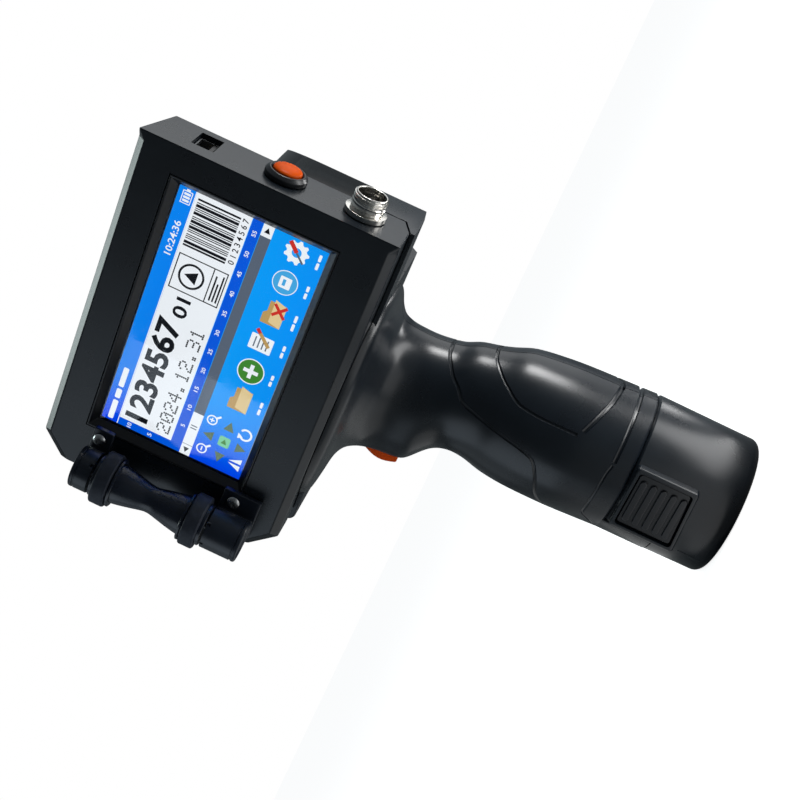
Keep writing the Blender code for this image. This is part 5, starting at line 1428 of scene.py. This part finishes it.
for start, end, low, high, depth in ((150, 208, 0.0050, 0.0140, 0.00030),
        (152, 172, 0.0062, 0.0128, 0.00045)):
    turns = [math.radians(start + (end - start) * step / 24) for step in range(25)]
    label_tools.append(slab(
        "label_recess",
        [(math.cos(a) * (r + 0.002), math.sin(a) * (r + 0.002)) for a in turns]
        + [(math.cos(a) * (r - depth), math.sin(a) * (r - depth)) for a in reversed(turns)],
        "Z", low, high))
carve(pack, label_tools)
fasten(pack, "battery", "shell_black", charcoal, "battery_shell", angle=35)

# Latches: a push plate in each side of the battery, with five rounded ribs for the thumb, that
# bears on a spring wire behind it.
for side, word in ((-1, "left"), (1, "right")):
    outer = latch_face - 0.0010
    key = latch_solid(f"latch_plate_{word}", side, gap + 0.0002, outer - 0.0026, outer)
    softened(key, 0.0005, 3)
    fasten(key, f"latch_{word}", "frame_black", bezel_plastic, f"latch_button_{word}")
    rib = slab("rib", rounded([(-0.0088, -0.00125), (0.0084, -0.00125), (0.0084, 0.00125),
        (-0.0088, 0.00125)], 0.0012), "X",
        -0.0005, 0.0008)
    softened(rib, 0.0004, 3, 40)
    if side < 0:
        rib.data.transform(Matrix.Rotation(math.pi, 4, "Z"))
    rib_spots = [(side * outer, 0.0, latch_low + 0.0034 + 0.0152 * index / 4) for index in range(5)]
    ribs = copied(f"latch_ribs_{word}", rib, rib_spots, stuff=bezel_plastic)
    fasten(ribs, f"latch_{word}", "frame_black", bezel_plastic)
fasten(from_node("battery_lid_made", "battery_lid", 0.0004), "battery", "shell_black", charcoal,
    "battery_lid")

# Guide roller: a double cone spool in black acetal between two flanges, turned smooth, with its
# ends carried on a steel shaft. It runs against the goods beside the print face.
acetal = moulding(
    "Black acetal", (0.0078, 0.0125, 0.0250), 0.27, grain_size=0.0009, grain_depth=0.0000015, tone=0.10,
    edge_wear_and_highlight=0.35)
tyre_low, tyre_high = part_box("roller_tyre_upper")
tyre_radius = (tyre_high.x - tyre_low.x) / 2
axis_x, axis_y = (tyre_low.x + tyre_high.x) / 2, (tyre_low.y + tyre_high.y) / 2
spool_low, spool_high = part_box("roller_spool")
roller_z = (spool_low.z + spool_high.z) / 2
axis = (axis_x, axis_y, roller_z)
half_gap, tyre_half, seat, shaft_bore = 0.01725, 0.00275, 0.0078, 0.00155
spool_end, flange_radius, waist = 0.0214, 0.0089, 0.0049
cone_side = [
    (flange_radius - 0.0002, half_gap - tyre_half - 0.0003), (flange_radius, half_gap - tyre_half - 0.0006),
    (flange_radius, half_gap - tyre_half - 0.0012), (flange_radius - 0.0003, half_gap - tyre_half - 0.0014),
    (0.0073, half_gap - tyre_half - 0.0014), (0.0072, half_gap - tyre_half - 0.0024)]
for step in range(1, 9):
    share = step / 9
    cone_side.append((0.0072 - (0.0072 - waist) * share ** 1.15, 0.0121 - 0.0109 * share))
cone_side.append((waist, 0.0008))
spool_profile = [(seat - 0.0003, spool_end), (seat, spool_end - 0.0003),
    (seat, half_gap - tyre_half - 0.0003)] + cone_side
spool_profile += [(radius, -height) for radius, height in reversed(cone_side)]
spool_profile += [
    (seat, -(half_gap - tyre_half - 0.0003)), (seat, 0.0003 - spool_end), (seat - 0.0003, -spool_end),
    (shaft_bore, -spool_end), (shaft_bore, spool_end)]
fasten(turned("spool", spool_profile, axis), "roller", "roller_black", acetal, "roller_spool", angle=28)
fasten(from_node("encoder_wheel", "encoder_disc", 0.0001), "roller", "steel", brushed, "encoder_disc")
fasten(from_node("roller_axle", "roller_shaft", 0.0003), "roller", "steel", steel, "roller_shaft")


# Tyres: two moulded nitrile rings stretched on the spool's ends, flat on the tread, with the fine
# lines that grinding leaves round them.
def ground_rubber():
    stuff, tree, shader = new_material("Ground rubber", {"Specular IOR Level": 0.35})
    lines = noise(tree, stretched(tree, (60.0, 60.0, 4200.0)), 1.0)
    dust = ranged(tree, noise(tree, object_place(tree), 420.0, 5.0), 0.3, 0.7)
    feed(tree, shader, {
        "Base Color": mixed(tree, dust, (0.016, 0.021, 0.034, 1.0), (0.030, 0.037, 0.054, 1.0)),
        "Roughness": ranged(tree, lines, 0.3, 0.7, 0.50, 0.66), "Normal": bumped(tree, lines, 0.000012)})
    return stuff


rubber = ground_rubber()
for word, sign in (("upper", 1), ("lower", -1)):
    middle_z, round_off = sign * half_gap, 0.0007
    tyre_profile = []
    for corner_z, corner_r, start in (
            (middle_z + tyre_half - round_off, tyre_radius - round_off, 90),
            (middle_z - tyre_half + round_off, tyre_radius - round_off, 0)):
        for step in range(5):
            angle = math.radians(start - 22.5 * step)
            tyre_profile.append((corner_r + round_off * math.cos(angle),
                corner_z + round_off * math.sin(angle)))
    tyre_profile += [(seat + 0.00005, middle_z - tyre_half), (seat + 0.00005, middle_z + tyre_half)]
    fasten(
        turned(f"tyre_{word}", tyre_profile, axis, steps=128), "roller", "rubber_black", rubber,
        f"roller_tyre_{word}")

# Roller caps and feet: turned cups over the shaft's ends, each with mould notches round its rim,
# and a bracket block under each that screws to the screen's face.
cap_radius_out, cap_inner = tyre_radius - 0.0021, spool_end + 0.0006
satin = moulding(
    "Satin black ABS", (0.0092, 0.0138, 0.0240), 0.33, grain_size=0.0003, grain_depth=0.0000025, edge_wear_and_highlight=0.4)
for word, sign, length in (("upper", 1, 0.0070), ("lower", -1, 0.0135)):
    rim = cap_inner + length
    cup = [
        (0.0, rim - 0.0006), (cap_radius_out - 0.0018, rim - 0.0006),
        (cap_radius_out - 0.0015, rim - 0.0002),
        (cap_radius_out - 0.0012, rim), (cap_radius_out - 0.0006, rim),
        (cap_radius_out - 0.0002, rim - 0.0002),
        (cap_radius_out, rim - 0.0006), (cap_radius_out, rim - 0.0014),
        (cap_radius_out - 0.0003, rim - 0.0016),
        (cap_radius_out - 0.0003, rim - 0.0019), (cap_radius_out, rim - 0.0021),
        (cap_radius_out, cap_inner + 0.0002), (cap_radius_out - 0.0002, cap_inner), (0.0017, cap_inner),
        (0.0017, cap_inner + 0.0010)]
    if sign < 0:
        cup += [(0.0063, cap_inner + 0.0010), (0.0063, cap_inner + 0.0070), (0.0017, cap_inner + 0.0070)]
    cup += [(0.0017, rim - 0.0018), (0.0, rim - 0.0018)]
    cup = [(radius, sign * height) for radius, height in cup]
    cap = turned(f"cap_{word}", cup, axis)
    notch_start, notch_end = sorted((roller_z + sign * (cap_inner - 0.0005),
        roller_z + sign * (cap_inner + 0.0014)))
    notches = []
    for turn in (100, 160, 220, 280) if sign < 0 else (130, 230):
        angle = math.radians(turn)
        spot_x = axis_x + cap_radius_out * math.cos(angle)
        spot_y = axis_y + cap_radius_out * math.sin(angle)
        notches.append(block(
            "cap_notch", (spot_x - 0.0006, spot_y - 0.0006, notch_start),
            (spot_x + 0.0006, spot_y + 0.0006, notch_end)))
    carve(cap, notches)
    fasten(cap, "housing", "roller_black", satin, f"roller_cap_{word}", angle=28)
    fasten(
        from_node(f"foot_{word}", f"roller_bracket_{word}", 0.0004, 3), "housing", "roller_black", satin,
        f"roller_bracket_{word}")


# Inside parts: cells in blue heat shrunk wrap, printed circuit boards in green lacquer over their
# copper tracks, and the black switches and contact blocks that are soldered to them.
def board_lacquer():
    stuff, tree, shader = new_material("Board lacquer", {"Coat Weight": 0.4, "Coat Roughness": 0.12})
    cells = add_node(tree, "ShaderNodeTexVoronoi", {
        "Vector": object_place(tree), "Scale": 260.0}, distance="MANHATTAN", feature="F1")
    track = ranged(tree, cells.outputs["Distance"], 0.40, 0.46)
    feed(tree, shader, {
        "Base Color": mixed(tree, track, (0.010, 0.085, 0.035, 1.0), (0.025, 0.17, 0.07, 1.0)),
        "Normal": bumped(tree, track, 0.00003)})
    return stuff


shrink_wrap = moulding(
    "Cell wrap", (0.02, 0.13, 0.34), 0.30, grain_size=0.0015, grain_depth=0.000015, tone=0.12, edge_wear_and_highlight=0.2)
lacquer = board_lacquer()
inside_finish = {
    "power_switch": phenolic, "grip_contact_block": phenolic, "battery_terminals": nickel,
    "main_board": lacquer, "power_board": lacquer, "contact_board": lacquer,
    "battery_cell_1": shrink_wrap, "battery_cell_2": shrink_wrap, "battery_cell_3": shrink_wrap}
for node, stuff in inside_finish.items():
    nodes[node].data.materials.clear()
    nodes[node].data.materials.append(stuff)
